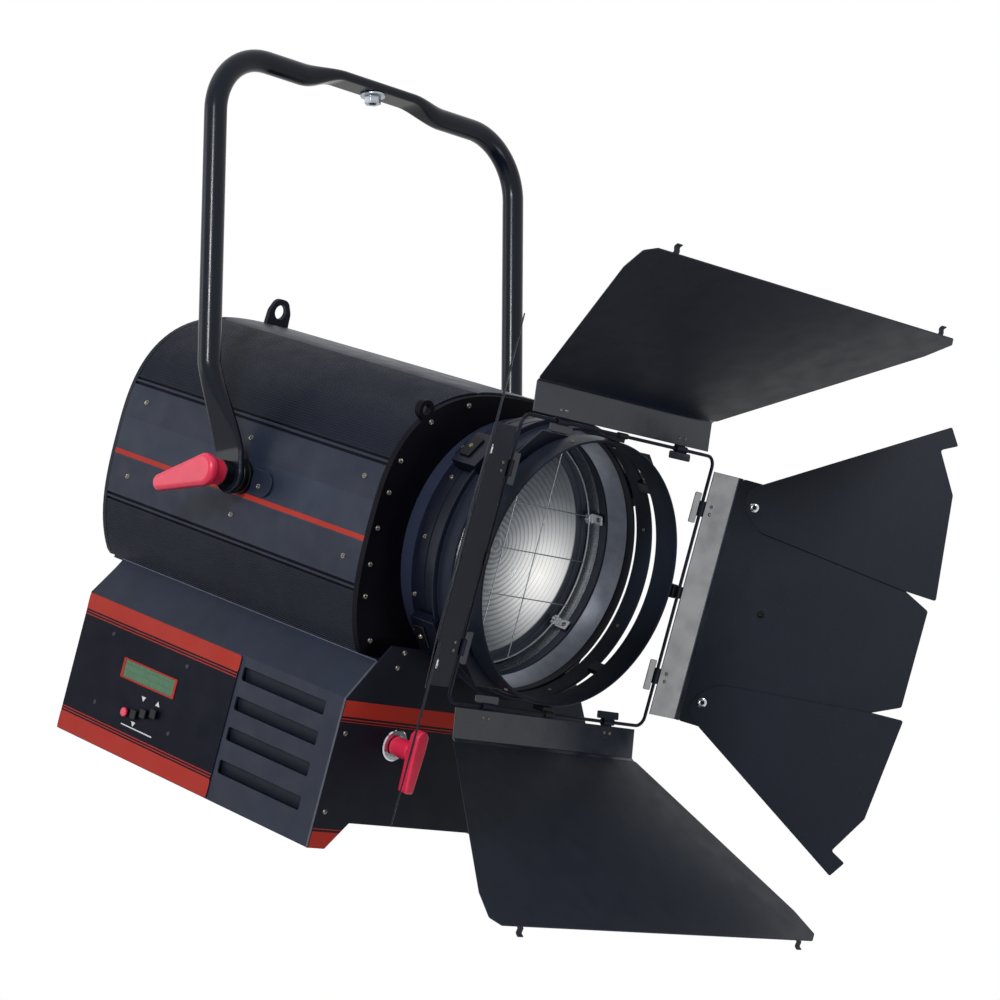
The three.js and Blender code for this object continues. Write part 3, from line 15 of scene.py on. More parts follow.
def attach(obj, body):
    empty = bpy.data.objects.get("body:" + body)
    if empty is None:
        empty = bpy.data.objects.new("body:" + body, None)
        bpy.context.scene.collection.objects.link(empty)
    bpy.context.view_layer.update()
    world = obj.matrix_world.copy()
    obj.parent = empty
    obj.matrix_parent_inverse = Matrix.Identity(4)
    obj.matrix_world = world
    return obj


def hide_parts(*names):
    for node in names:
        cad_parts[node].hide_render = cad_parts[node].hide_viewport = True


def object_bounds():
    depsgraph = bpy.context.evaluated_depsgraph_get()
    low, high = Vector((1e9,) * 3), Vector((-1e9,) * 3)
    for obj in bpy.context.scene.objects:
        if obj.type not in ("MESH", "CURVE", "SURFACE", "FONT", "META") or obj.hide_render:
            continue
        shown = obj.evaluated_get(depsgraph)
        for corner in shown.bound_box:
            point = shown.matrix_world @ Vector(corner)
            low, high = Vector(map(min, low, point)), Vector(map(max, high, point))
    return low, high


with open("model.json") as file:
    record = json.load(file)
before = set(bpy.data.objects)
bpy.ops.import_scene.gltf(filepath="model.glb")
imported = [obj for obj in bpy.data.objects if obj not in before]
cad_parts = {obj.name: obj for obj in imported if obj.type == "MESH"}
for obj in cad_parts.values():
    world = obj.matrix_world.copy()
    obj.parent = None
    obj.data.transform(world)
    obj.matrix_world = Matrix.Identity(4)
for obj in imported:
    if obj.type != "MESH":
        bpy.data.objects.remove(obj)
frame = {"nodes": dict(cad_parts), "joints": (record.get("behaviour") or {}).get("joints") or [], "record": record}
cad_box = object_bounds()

# %% [markdown]
# A light fitting is drawn in its own directions: X along the beam, Y to its left and Z up, from the
# middle of the front flange. The real head hangs nose down, so its directions are tilted in the
# frame. They are read from two joints, the barn door's turn and the head's tilt, rather than typed,
# so that they can't drift from the model. Sizes below are in millimetres in those directions, and
# one matrix carries them into the frame.

# %% Directions of the head
MM = 0.001
PIVOT_X = -235
SIDES = ((-1, "near"), (1, "far"))
joints = {joint["name"]: joint for joint in frame["joints"]}
beam = Vector(joints["barn_door_rotation"]["axis"]).normalized()
across = Vector(joints["head_tilt"]["axis"]).normalized()
upward = beam.cross(across)
pivot = Vector(joints["head_tilt"]["pos_m"])
on_beam = Vector(joints["barn_door_rotation"]["pos_m"]) - pivot
off_axis = on_beam - beam * on_beam.dot(beam)
face_middle = pivot + off_axis - beam * PIVOT_X * MM
HEAD = Matrix.Translation(face_middle) @ Matrix((beam, across, upward)).transposed().to_4x4()
YOKE = Matrix.Translation(Vector((0, 0, pivot.z)))
print("head middle", [round(value, 4) for value in face_middle])

# %% [markdown]
# The camera comes first, because every later choice is judged through it. It stands a little below
# the light and looks slightly up, as a photographer would with a light on a stand. A long lens keeps
# the barn doors from spreading. Two angles aim it, and a third rolls it by a hair.

# %% Camera
CAMERA_PLACE = (2.4964, -2.4000, -1.1662)
AZIMUTH, RISE, ROLL = (math.radians(degrees) for degrees in (133.47, 10.573, 0.39))
SENSOR_WIDTH = 36
FOCAL_LENGTH = 105.27


def added(name, data):
    """A new object in the scene."""
    thing = bpy.data.objects.new(name, data)
    bpy.context.scene.collection.objects.link(thing)
    return thing


camera = added("camera", bpy.data.cameras.new("camera"))
camera.data.sensor_width = SENSOR_WIDTH
camera.data.lens = FOCAL_LENGTH
camera.location = CAMERA_PLACE
camera.rotation_mode = "QUATERNION"
look = Vector((math.cos(AZIMUTH) * math.cos(RISE), math.sin(AZIMUTH) * math.cos(RISE), math.sin(RISE)))
aim = look.to_track_quat("-Z", "Y").to_matrix() @ Matrix.Rotation(ROLL, 3, "Z")
camera.rotation_quaternion = aim.to_quaternion()
bpy.context.scene.camera = camera
bpy.context.scene.view_settings.view_transform = "Standard"
print("camera at", CAMERA_PLACE)

# %% [markdown]
# The world and every material are graphs of nodes. A few helpers write them: one sets a node's
# inputs, each to a value or to the socket that drives it, one makes a node and hands back an output,
# and one does sums. The last tells the rays that see a surface from those that only light it.

# %% Nodes
def feed(tree, owner, inputs):
    for key, value in inputs.items():
        if isinstance(value, bpy.types.NodeSocket):
            tree.links.new(value, owner.inputs[key])
        else:
            owner.inputs[key].default_value = value


def out(tree, kind, inputs=None, output=0, **settings):
    owner = tree.nodes.new("ShaderNode" + kind)
    for name, value in settings.items():
        setattr(owner, name, value)
    feed(tree, owner, inputs or {})
    return owner.outputs[output]


def maths(tree, operation, first, second=0.0):
    return out(tree, "Math", {0: first, 1: second}, operation=operation)


def seen_directly(tree):
    """One for rays from the camera, off a gloss or through glass, and nothing for the others."""
    rays = tree.nodes.new("ShaderNodeLightPath").outputs
    plain = maths(tree, "MAXIMUM", rays["Is Camera Ray"], rays["Is Glossy Ray"])
    return maths(tree, "MAXIMUM", plain, rays["Is Transmission Ray"])


print("node helpers ready")

# %% [markdown]
# A studio is a white room with soft lamps. The world shows as white to the camera and in mirrors and
# glass, but lights the object only at a plain level. The floor is a large pale sheet below the light,
# which hangs from its yoke.

# %% White room and floor
ROOM_LIGHT = 0.4
FLOOR_DROP = 1.9
FLOOR_HALF = 9
world = bpy.data.worlds.new("white_room")
bpy.context.scene.world = world
world.use_nodes = True
room = world.node_tree
level = out(room, "MapRange", {"To Min": ROOM_LIGHT, "To Max": 1, "Value": seen_directly(room)})
feed(room, room.nodes["Background"], {"Color": (1, 1, 1, 1), "Strength": level})

floor_z = cad_box[0][2] - FLOOR_DROP
floor_corners = [(x * FLOOR_HALF, y * FLOOR_HALF, floor_z) for x, y in ((-1, -1), (1, -1), (1, 1), (-1, 1))]
floor_mesh = bpy.data.meshes.new("studio_floor")
floor_mesh.from_pydata(floor_corners, [], [(0, 1, 2, 3)])
floor = added("studio_floor", floor_mesh)
print("floor at", round(floor_z, 3))

# %% [markdown]
# Four lamps light a dark object. Black coats show their shape by what they mirror, so each lamp
# stands where a face needs a sheen. The key is small and to the camera's left, because the yoke's
# shadow on the housing is crisp. A large box behind it to the left gives the upright faces their
# sheen, one low in front does so for the hinge strip of the far leaf, and one overhead for the crown.

# %% Soft boxes
def soft_box(name, place, target, width, height, watts):
    data = bpy.data.lights.new(name, "AREA")
    data.shape = "RECTANGLE"
    data.size = width
    data.size_y = height
    data.energy = watts
    box = added(name, data)
    box.location = place
    box.rotation_euler = (Vector(target) - Vector(place)).to_track_quat("-Z", "Y").to_euler()


MIDDLE = (0.15, 0, -0.55)
soft_box("key_box", (1.42, -2.52, 0.39), MIDDLE, 0.35, 0.5, 54)
soft_box("side_box", (-2.05, -2.0, 0.0), MIDDLE, 1.1, 1.7, 12)
soft_box("strip_box", (3.1, 0.55, -1.95), (0.37, 0.2, -0.75), 0.8, 1.1, 20)
soft_box("top_box", (-0.9, -1.3, 2.1), MIDDLE, 1.8, 1.4, 3)
print("lamps", [lamp.name for lamp in bpy.data.lights])

# %% [markdown]
# Finishes. The whole body is powder-coated sheet and extrusion: a fine orange-peel grain that breaks
# up highlights, slightly uneven colour, and pale dust in the pits. One function makes every coat from
# its colour, gloss and grain, so the coats differ as the real ones do and nothing is a flat colour.
# Colours are given as they are read off a screen, 0 to 255, and turned into the units of light.

# %% Coats and their grain
def noise(tree, size, detail, stretch=(1, 1, 1)):
    place = out(tree, "TexCoord", output="Object")
    mapped = out(tree, "Mapping", {"Scale": stretch, "Vector": place})
    return out(tree, "TexNoise", {"Scale": 1 / (size * MM), "Detail": detail, "Vector": mapped})


def ramp(tree, source, stops):
    node = tree.nodes.new("ShaderNodeValToRGB")
    elements = node.color_ramp.elements
    while len(elements) < len(stops):
        elements.new(0.5)
    for element, (position, colour) in zip(elements, stops):
        element.position = position
        element.color = (*colour, 1)
    feed(tree, node, {"Fac": source})
    return node.outputs["Color"]


def spread(tree, source, low, high):
    return out(tree, "MapRange", {"From Min": 0.3, "From Max": 0.7, "To Min": low, "To Max": high,
                                  "Value": source})


def bump(tree, height, depth, strength):
    return out(tree, "Bump", {"Distance": depth * MM, "Strength": strength, "Height": height})


def linear(red, green, blue):
    return tuple((value / 255) ** 2.2 for value in (red, green, blue))


def cloudy(tree, colour, size, detail, low, high):
    """A colour that wanders between two shares of itself."""
    shades = [tuple(min(value * share, 1) for value in linear(*colour)) for share in (low, high)]
    return ramp(tree, noise(tree, size, detail), list(zip((0.3, 0.7), shades)))


finishes = {}


def blank(name):
    """A new finish: its nodes and its shader."""
    material = bpy.data.materials.new(name)
    material.use_nodes = True
    finishes[name] = material
    return material.node_tree, material.node_tree.nodes["Principled BSDF"]


def coat(name, colour, rough, gloss, grain=0.7, depth=0.05, mottle=0.12, dust=0.25):
    tree, shader = blank(name)
    pale = tuple(min(value * (1 + dust * 6), 1) for value in linear(*colour))
    pits = out(tree, "MapRange", {"From Min": 0.66, "From Max": 0.74, "Value": noise(tree, 1.6, 3)})
    dusty = out(tree, "Mix", {0: pits, 6: cloudy(tree, colour, 90, 4, 1 - mottle, 1 + mottle), 7: (*pale, 1)},
                output=2, data_type="RGBA")
    feed(tree, shader, {
        "Specular IOR Level": gloss, "Base Color": dusty,
        "Roughness": spread(tree, noise(tree, 24, 5), rough - 0.05, rough + 0.06),
        "Normal": bump(tree, noise(tree, grain, 2), depth, 0.5)})


coat("powder_black", (21, 25, 38), 0.45, 0.14)
coat("powder_grey", (33, 39, 54), 0.46, 0.17)
coat("crown_grey", (37, 41, 54), 0.42, 0.12)
coat("flange_black", (14, 14, 21), 0.6, 0.08, dust=0.1)
coat("front_black", (21, 23, 34), 0.5, 0.12, dust=0.1)
coat("leaf_black", (26, 31, 41), 0.42, 0.18, grain=0.5, dust=0.4)
# strip_grey is a glossier, slightly lighter copy of leaf_black: on the hinge strips its lighter colour is painted
# sheen, and on the tails the lighter grey is their own.
coat("strip_grey", (31, 37, 48), 0.2, 0.45, grain=0.6, depth=0.02, dust=0.4)
coat("ring_blue", (18, 22, 35), 0.36, 0.2)
coat("door_grey", (34, 39, 50), 0.42, 0.08)
coat("tube_blue", (44, 49, 66), 0.34, 0.3, grain=0.8)
coat("yoke_black", (22, 26, 36), 0.22, 0.18, grain=1.1, depth=0.02)
coat("lip_grey", (60, 66, 78), 0.4, 0.3)
coat("louvre_grey", (34, 38, 47), 0.55, 0.15)
coat("black_plastic", (10, 11, 15), 0.45, 0.2, grain=0.4)
coat("overlay_film", (16, 19, 31), 0.42, 0.05, grain=0.35, depth=0.02, dust=0.15)
coat("clear_film", (38, 45, 61), 0.42, 0.15, grain=0.4, depth=0.02, dust=0.1)
coat("print_red", (162, 50, 42), 0.42, 0.08, grain=0.35, depth=0.02, mottle=0.05, dust=0)
coat("print_white", (205, 208, 210), 0.5, 0.3, grain=0.35, depth=0.02, mottle=0.04, dust=0)
coat("studio_white", (232, 232, 232), 0.7, 0.2, mottle=0.02, dust=0)
print("coats", sorted(finishes))

# %% [markdown]
# Bare metal is the opposite of a coat: its colour hardly matters and its scratches do. Brushed parts
# get noise that is stretched along one direction, in both roughness and bump. Zinc is duller and
# slightly blue, chrome is nearly a mirror, and mill aluminium is soft and grey.

# %% Bare metals
def metal(name, colour, rough, stretch, scratch):
    tree, shader = blank(name)
    lines = noise(tree, 0.6, 3, stretch)
    feed(tree, shader, {
        "Metallic": 1, "Base Color": cloudy(tree, colour, 12, 4, 0.82, 1),
        "Roughness": spread(tree, lines, rough * 0.75, rough * 1.35), "Normal": bump(tree, lines, scratch, 0.4)})


metal("zinc", (176, 182, 190), 0.34, (1, 1, 1), 0.03)
metal("chrome", (205, 208, 214), 0.13, (1, 0.1, 1), 0.01)
metal("aluminium", (168, 172, 178), 0.42, (0.05, 1, 1), 0.03)
metal("skirt_steel", (166, 172, 184), 0.34, (1, 1, 1), 0.02)
metal("screw_steel", (128, 124, 114), 0.4, (1, 1, 1), 0.03)
metal("brushed_steel", (190, 194, 200), 0.26, (1, 0.06, 1), 0.03)
print("metals added, finishes now", len(finishes))

# %% [markdown]
# Moulded parts. The red grips are satin plastic with a little light inside them, which subsurface
# gives. The display is a green panel with a faint grid of character cells.

# %% Plastics and display
CELL = (5.2, 8, 0.35)


def moulded(name, colour, rough, soft, gloss=0.5):
    tree, shader = blank(name)
    feed(tree, shader, {
        "Specular IOR Level": gloss, "Subsurface Weight": soft, "Subsurface Scale": 2 * MM,
        "Base Color": cloudy(tree, colour, 20, 3, 0.9, 1.06),
        "Roughness": spread(tree, noise(tree, 5, 4), rough - 0.06, rough + 0.06),
        "Normal": bump(tree, noise(tree, 0.5, 2), 0.02, 0.4)})
    return tree, shader


def display_finish():
    tree, shader = moulded("display_green", (72, 108, 84), 0.3, 0, gloss=0.1)
    place = out(tree, "TexCoord", output="Object")
    upright = out(tree, "Mapping", {"Rotation": (math.pi / 2, 0, 0), "Vector": place})
    width, height, gap = (size * MM for size in CELL)
    cells = out(tree, "TexBrick", {
        "Color1": (*linear(72, 108, 84), 1), "Color2": (*linear(78, 115, 88), 1), "Mortar": (*linear(60, 92, 70), 1),
        "Scale": 1, "Brick Width": width, "Row Height": height, "Mortar Size": gap, "Vector": upright}, offset=0)
    feed(tree, shader, {"Base Color": cells})


moulded("red_plastic", (214, 44, 76), 0.36, 0.15)
moulded("led_yellow", (217, 194, 90), 0.5, 0)
display_finish()
print("display cells", CELL)

# %% [markdown]
# The lens is pressed glass, frosted on its back, so it shows as a pale grey disc with clear gloss on its
# steps. Its brightness is painted light: an emission that is strongest at a painted hot spot over the light
# engine, and a base colour that greys toward the rim as painted shade. Both are ramps over the distance
# from that spot. Each step has painted light on its slope and painted shade at its riser: a sine over the
# distance from the middle sets the emission's strength.

# %% Glass and floor paint
LENS_PITCH = 6.25
# The hot spot, the emission ramp and its reach are painted light, and the base colour ramp greys toward the rim as
# painted shade.
PAINTED_HOT_SPOT = (0, 86, -28)
PAINTED_GLOW_REACH = 140
MILKY_AND_SHADE = ((0.0, (112, 114, 116)), (0.5, (96, 99, 102)), (1.0, (74, 77, 82)))
PAINTED_GLOW = ((0.0, (226, 224, 220)), (0.25, (190, 190, 189)), (0.4, (148, 149, 150)), (0.55, (104, 106, 108)),
        (0.7, (70, 73, 77)), (1.0, (40, 43, 48)))


# Painted light and shade on the steps: the emission is stronger on each slope and weaker at each riser.
def painted_step_light(tree, place):
    sides = [maths(tree, "POWER", out(tree, "SeparateXYZ", {"Vector": place}, output=axis), 2) for axis in "YZ"]
    radius = maths(tree, "SQRT", maths(tree, "ADD", *sides))
    wave = maths(tree, "SINE", maths(tree, "MULTIPLY", radius, math.tau / (LENS_PITCH * MM)))
    return maths(tree, "ADD", maths(tree, "MULTIPLY", wave, 0.36), 0.8)


def lens_finish():
    tree, shader = blank("clear_glass")
    place = out(tree, "TexCoord", output="Object")
    from_spot = out(tree, "Mapping", {"Location": [-value * MM for value in PAINTED_HOT_SPOT], "Vector": place},
                    vector_type="POINT")
    flat = out(tree, "VectorMath", {0: from_spot, 1: (0, 1, 1)}, operation="MULTIPLY")
    length = out(tree, "VectorMath", {0: flat}, output="Value", operation="LENGTH")
    share = out(tree, "MapRange", {"From Max": PAINTED_GLOW_REACH * MM, "Value": length})
    milky_and_shade_colour, painted_glow_colour = (ramp(tree, share, [(stop, linear(*colour)) for stop, colour in stops]) for stops in (MILKY_AND_SHADE, PAINTED_GLOW))
    feed(tree, shader, {
        # The emission is painted light, and the base colour's greying toward the rim is painted shade.
        "Transmission Weight": 0.15, "Coat Weight": 0.6, "Coat Roughness": 0.08, "Base Color": milky_and_shade_colour,
        "Emission Color": painted_glow_colour, "Emission Strength": painted_step_light(tree, place),
        "Roughness": spread(tree, noise(tree, 8, 4), 0.12, 0.24), "Normal": bump(tree, noise(tree, 3, 3), 0.05, 0.3)})


def pale_when_seen(material):
    """Paint that lights the object as paint does, but shows as pale to camera, mirror and glass."""
    tree = material.node_tree
    pale = ramp(tree, noise(tree, 400, 4), [(0.3, (0.9, 0.9, 0.9)), (0.7, (0.94, 0.94, 0.94))])
    shown = out(tree, "Emission", {"Color": pale})
    mix = out(tree, "MixShader", {0: seen_directly(tree), 1: tree.nodes["Principled BSDF"].outputs[0], 2: shown})
    feed(tree, tree.nodes["Material Output"], {"Surface": mix})


lens_finish()
pale_when_seen(finishes["studio_white"])
floor.data.materials.append(finishes["studio_white"])
print("finishes", len(finishes))

# %% [markdown]
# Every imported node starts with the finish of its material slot. Most of them are then replaced by a
# modelled piece, and the ones that stay are inner parts whose shape is already right. The chassis
# plate shows a little at the back, under the housing, and has the housing's paint there.

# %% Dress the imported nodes
slot_of = {part["node"]: part["material_slot"] for part in frame["record"]["subparts"]}
PAINTED = {"chassis_plate": "powder_black"}
for name, node in frame["nodes"].items():
    node.data.materials.clear()
    node.data.materials.append(finishes[PAINTED.get(name, slot_of[name])])
print("dressed", len(slot_of))

# %% [markdown]
# The workshop: a few ways of making a shape, each giving points in millimetres and faces. A turned
# piece spins a profile about the beam, a prism pushes an outline through, a tube follows a path.

# %% Shapes
ROUND = 128
FINE = 192
PLANES = {
    "X": Matrix(((0, 0, 1, 0), (1, 0, 0, 0), (0, 1, 0, 0), (0, 0, 0, 1))),
    "Y": Matrix(((1, 0, 0, 0), (0, 0, 1, 0), (0, 1, 0, 0), (0, 0, 0, 1))),
    "Z": Matrix.Identity(4),
}


def joined(*shapes):
    points = []
    faces = []
    for more_points, more_faces in shapes:
        start = len(points)
        points += [Vector(point) for point in more_points]
        faces += [[start + corner for corner in face] for face in more_faces]
    return points, faces


def moved(shape, matrix):
    return [matrix @ Vector(point) for point in shape[0]], shape[1]


def shifted(shape, x=0, y=0, z=0):
    return moved(shape, Matrix.Translation(Vector((x, y, z))))


def around_beam(shape, degrees):
    return moved(shape, Matrix.Rotation(math.radians(degrees), 4, "X"))


def upright(shape):
    """A turned shape stood up, so that its axis points along Z."""
    return moved(shape, Matrix.Rotation(math.radians(-90), 4, "Y"))


def arc(x, y, radius, first, last, steps):
    """Points on a circle between two angles in degrees."""
    angles = [math.radians(first + (last - first) * i / steps) for i in range(steps + 1)]
    return [(x + radius * math.cos(angle), y + radius * math.sin(angle)) for angle in angles]


def circle(radius, sides):
    return arc(0, 0, radius, 0, 360, sides)[:-1]


def box(x0, x1, y0, y1):
    return [(x0, y0), (x1, y0), (x1, y1), (x0, y1)]


def lattice(rows, sides, loop=False):
    """The faces between rows of points. In a loop the last row meets the first."""
    faces = []
    for row in range(rows if loop else rows - 1):
        here, there = row * sides, (row + 1) % rows * sides
        for i in range(sides):
            k = (i + 1) % sides
            faces.append([here + i, there + i, there + k, here + k])
    return faces


def capped(rows, sides):
    last = (rows - 1) * sides
    return lattice(rows, sides) + [list(range(sides))[::-1], list(range(last, last + sides))]


def turned(profile, sides=ROUND, closed=True):
    """A profile of (radius, x) points, spun about the beam. Radius zero makes a pole."""
    points = [Vector((x, y, z)) for radius, x in profile for y, z in circle(radius, sides)]
    return points, lattice(len(profile), sides, closed)


def ring(outer, inner, low, high, sides=ROUND):
    return turned([(inner, low), (outer, low), (outer, high), (inner, high)], sides)


def prism(outline, low, high, plane):
    """An outline pushed along an axis. Across X it is drawn in (y, z), across Y in (x, z)."""
    points = [Vector((u, v, end)) for end in (low, high) for u, v in outline]
    return moved((points, capped(2, len(outline))), PLANES[plane])


def block(x0, x1, y0, y1, z0, z1):
    return prism(box(x0, x1, y0, y1), z0, z1, "Z")


def disc(radius, low, high, x=0, y=0, z=0, plane="X", sides=32):
    """A cylinder along an axis, centred on a point."""
    return shifted(prism(circle(radius, sides), low, high, plane), x, y, z)


def corner_arc(before, corner, after, radius, steps):
    """Points that cut a corner back to an arc."""
    corner = Vector(corner)
    before = Vector(before) - corner
    after = Vector(after) - corner
    back = min(radius / math.tan(before.angle(after) / 2), before.length * 0.48, after.length * 0.48)
    start = corner + before.normalized() * back
    end = corner + after.normalized() * back
    shares = [step / steps for step in range(steps + 1)]
    return [start.lerp(corner, share).lerp(corner.lerp(end, share), share) for share in shares]


def rounded(outline, radius, steps=4):
    """A closed outline with its corners cut back to arcs of one radius, or of one each."""
    count = len(outline)
    radii = radius if isinstance(radius, tuple) else (radius,) * count
    arcs = [corner_arc(outline[i - 1], outline[i], outline[(i + 1) % count], radii[i], steps) for i in range(count)]
    return [(point.x, point.y) for points in arcs for point in points]


def tube(path, radius, sides=12, closed=False):
    """A round bar that follows a path of points."""
    points = []
    count = len(path)
    side = None
    for i, centre in enumerate(path):
        before = path[i - 1] if closed or i > 0 else path[i]
        after = path[(i + 1) % count] if closed or i < count - 1 else path[i]
        along = (Vector(after) - Vector(before)).normalized()
        side = side or along.orthogonal().normalized()
        side = (side - along * side.dot(along)).normalized()
        other = along.cross(side)
        points += [Vector(centre) + (side * u + other * v) * radius for u, v in circle(1, sides)]
    return points, lattice(count, sides, True) if closed else capped(count, sides)


print("planes", sorted(PLANES))

# %% [markdown]
# One function makes the object from a shape: it welds the mesh, rounds its edges with a Bevel
# modifier so that they catch light, keeps flat faces flat in the shading, and says what the piece
# rides on, replaces and is made of.

# %% Pieces
WELD = 0.002
BEVEL_FROM = 35
made = {}


def welded(name, points, faces, distance):
    """A mesh with doubled points merged and every face turned outward."""
    mesh = bpy.data.meshes.new(name)
    mesh.from_pydata(points, [], faces)
    work = bmesh.new()
    work.from_mesh(mesh)
    bmesh.ops.remove_doubles(work, verts=work.verts, dist=distance)
    bmesh.ops.recalc_face_normals(work, faces=work.faces)
    work.to_mesh(mesh)
    work.free()
    return mesh


def piece(name, shape, finish, replaces=None, body="head", slot=None, place=HEAD, bevel=0, segments=2,
          smooth=32, own_directions=False):
    """One finished object. Its points go into the frame unless it keeps its own directions."""
    mesh = welded(name, [Vector(point) * MM for point in shape[0]], shape[1], WELD * MM)
    for polygon in mesh.polygons:
        polygon.use_smooth = True
    mesh.set_sharp_from_angle(angle=math.radians(smooth))
    mesh.materials.append(finishes[finish])
    thing = added(name, mesh)
    if own_directions:
        thing.matrix_world = place
    else:
        mesh.transform(place)
    if bevel:
        edge = thing.modifiers.new("edges", "BEVEL")
        edge.width = bevel * MM
        edge.segments = segments
        edge.limit_method = "ANGLE"
        edge.angle_limit = math.radians(BEVEL_FROM)
    thing.modifiers.new("normals", "WEIGHTED_NORMAL").keep_sharp = True
    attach(thing, body)
    if replaces:
        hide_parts(replaces)
    made[name] = len(mesh.polygons)


print("weld distance", WELD)

# %% [markdown]
# Screws hold all of it together: pan heads with a cross slot. A head is a small round grid whose
# height follows a dome, with the cross pressed in by the same formula, so one function serves every
# screw. Each group of screws is one object.

# %% Screw heads
SCREW_ROWS = 5
SCREW_SIDES = 24


def screw_head(radius, height, place, normal, turn=20):
    points = [Vector((0, 0, height * 0.45))]
    for row in range(1, SCREW_ROWS + 1):
        share = row / SCREW_ROWS
        for i, (x, y) in enumerate(circle(radius * share, SCREW_SIDES)):
            arm = min(abs(math.cos(2 * (math.tau * i / SCREW_SIDES - math.radians(turn)))), 1)
            slot = 0.55 * height if share < 0.65 and arm > 0.75 else 0
            rise = height * math.sqrt(max(1 - share ** 3, 0)) - slot
            points.append(Vector((x, y, max(rise, 0))))
    base = len(points)
    points += [Vector((x, y, -height * 0.4)) for x, y in circle(radius, SCREW_SIDES)]
    rings = [[corner + 1 for corner in face] for face in lattice(SCREW_ROWS + 1, SCREW_SIDES)]
    faces = [[0, 1 + i, 1 + (i + 1) % SCREW_SIDES] for i in range(SCREW_SIDES)] + rings
    faces.append(list(range(base, base + SCREW_SIDES))[::-1])
    spin = Vector(normal).normalized().to_track_quat("Z", "Y").to_matrix().to_4x4()
    return moved((points, faces), Matrix.Translation(Vector(place)) @ spin)


def beam_screw(radius, height, degrees, x, reach, y=0, way=1):
    """A screw in a surface around the beam, facing out, or inward with way -1."""
    turn = Matrix.Rotation(math.radians(degrees), 3, "X")
    return screw_head(radius, height, turn @ Vector((x, y, reach)), turn @ Vector((0, 0, way)))


def screws(name, heads, finish="screw_steel", slot="zinc", **more):
    piece(name, joined(*heads), finish, slot=slot, **more)
    print(name, len(heads))


print("points in a screw head", len(screw_head(3, 1.5, (0, 0, 0), (1, 0, 0))[0]))

# %% [markdown]
# Some plates have holes and cut-outs that an outline can't give. The workshop's drill takes a shape
# and cutters, lets Blender's exact Boolean modifier cut them on temporary objects, and hands the
# result back as a plain shape. It is used for eyes, vents and bores, and everything else stays simple.

# %% Drill
def temporary(shape):
    return added("temporary", welded("temporary", [Vector(point) for point in shape[0]], shape[1], 0.001))


def drilled(shape, cutters, operation="DIFFERENCE"):
    body = temporary(shape)
    tools = [temporary(cutter) for cutter in cutters]
    for tool in tools:
        cut = body.modifiers.new("cut", "BOOLEAN")
        cut.operation = operation
        cut.solver = "EXACT"
        cut.object = tool
    ready = body.evaluated_get(bpy.context.evaluated_depsgraph_get())
    mesh = ready.to_mesh()
    points = [vertex.co.copy() for vertex in mesh.vertices]
    faces = [list(polygon.vertices) for polygon in mesh.polygons]
    ready.to_mesh_clear()
    for thing in [body, *tools]:
        old = thing.data
        bpy.data.objects.remove(thing)
        bpy.data.meshes.remove(old)
    return points, faces


print("faces in a drilled plate", len(drilled(block(-5, 5, -5, 5, 0, 3), [disc(2, -1, 4, plane="Z")])[1]))

# %% [markdown]
# The housing is an aluminium extrusion in segments around a rounded-square section, deeper below
# than above. The section is a superellipse, which one formula gives at any height, so each segment
# follows the same curve as its neighbours.

# %% Housing section
HALF_WIDTH = 200
TOP_HEIGHT = 172
LOW_HEIGHT = 202
EXPONENT = 2.8
HOUSING = (-474.9, -8.3)
CROWN_HALF = 88
PANEL_TOP = 70
PANEL_LOW = -77
BASE_SEAT = -147.1
CROWN_SEAM = 3.2
PANEL_SEAM = 2.6
SHEET = 3


def section_point(angle, grow=0, top_drop=0):
    """The point of the section in the direction of an angle, measured from the side upward."""
    c, s = math.cos(angle), math.sin(angle)
    height = (TOP_HEIGHT - top_drop if s > 0 else LOW_HEIGHT) + grow
    reach = ((abs(c) / (HALF_WIDTH + grow)) ** EXPONENT + (abs(s) / height) ** EXPONENT) ** (-1 / EXPONENT)
    return Vector((reach * c, reach * s))


def section_y(z):
    share = min(abs(z) / (TOP_HEIGHT if z > 0 else LOW_HEIGHT), 1)
    return HALF_WIDTH * (1 - share ** EXPONENT) ** (1 / EXPONENT)


def section_z(y):
    return TOP_HEIGHT * (1 - min(abs(y) / HALF_WIDTH, 1) ** EXPONENT) ** (1 / EXPONENT)


def on_top(y):
    return y, section_z(y)


def on_side(z):
    return section_y(z), z


def inset(path, depth, outward=True):
    """A path moved across itself by a depth, or by one each, and toward the beam if outward."""
    depths = depth if isinstance(depth, list) else [depth] * len(path)
    result = []
    for i, (point, deep) in enumerate(zip(path, depths)):
        along = path[min(i + 1, len(path) - 1)] - path[max(i - 1, 0)]
        normal = Vector((along.y, -along.x)).normalized()
        flip = outward and normal.dot(point) <= 0
        result.append(point + normal * deep if flip else point - normal * deep)
    return result


def pushed(outline, side=1, start=HOUSING[0], end=HOUSING[1]):
    """An outline on the far side, mirrored to the near side by -1, pushed along the beam."""
    return prism([(side * y, z) for y, z in outline], start, end, "X")


def between(start, end, steps):
    """The section from one (y, z) point to another."""
    first, last = (math.atan2(z, y) for y, z in (start, end))
    return [section_point(first + (last - first) * i / steps) for i in range(steps + 1)]


print("crown edge at", [round(value, 1) for value in on_top(CROWN_HALF)])

# %% [markdown]
# The upper and lower segments are cooling ribs: rounded ridges about three millimetres apart that run
# the whole length. They could be a bump in the material, but then the silhouette and the shadow lines
# would stay smooth, so the profile itself has a small trapezoid for each ridge and is pushed through.

# %% Ribbed segments
RIB_PITCH = 3.2
RIB_HEIGHT = 0.7
RIB_STEPS = ((0.0, 0.0), (0.16, 0.0), (0.34, 1.0), (0.66, 1.0), (0.84, 0.0))


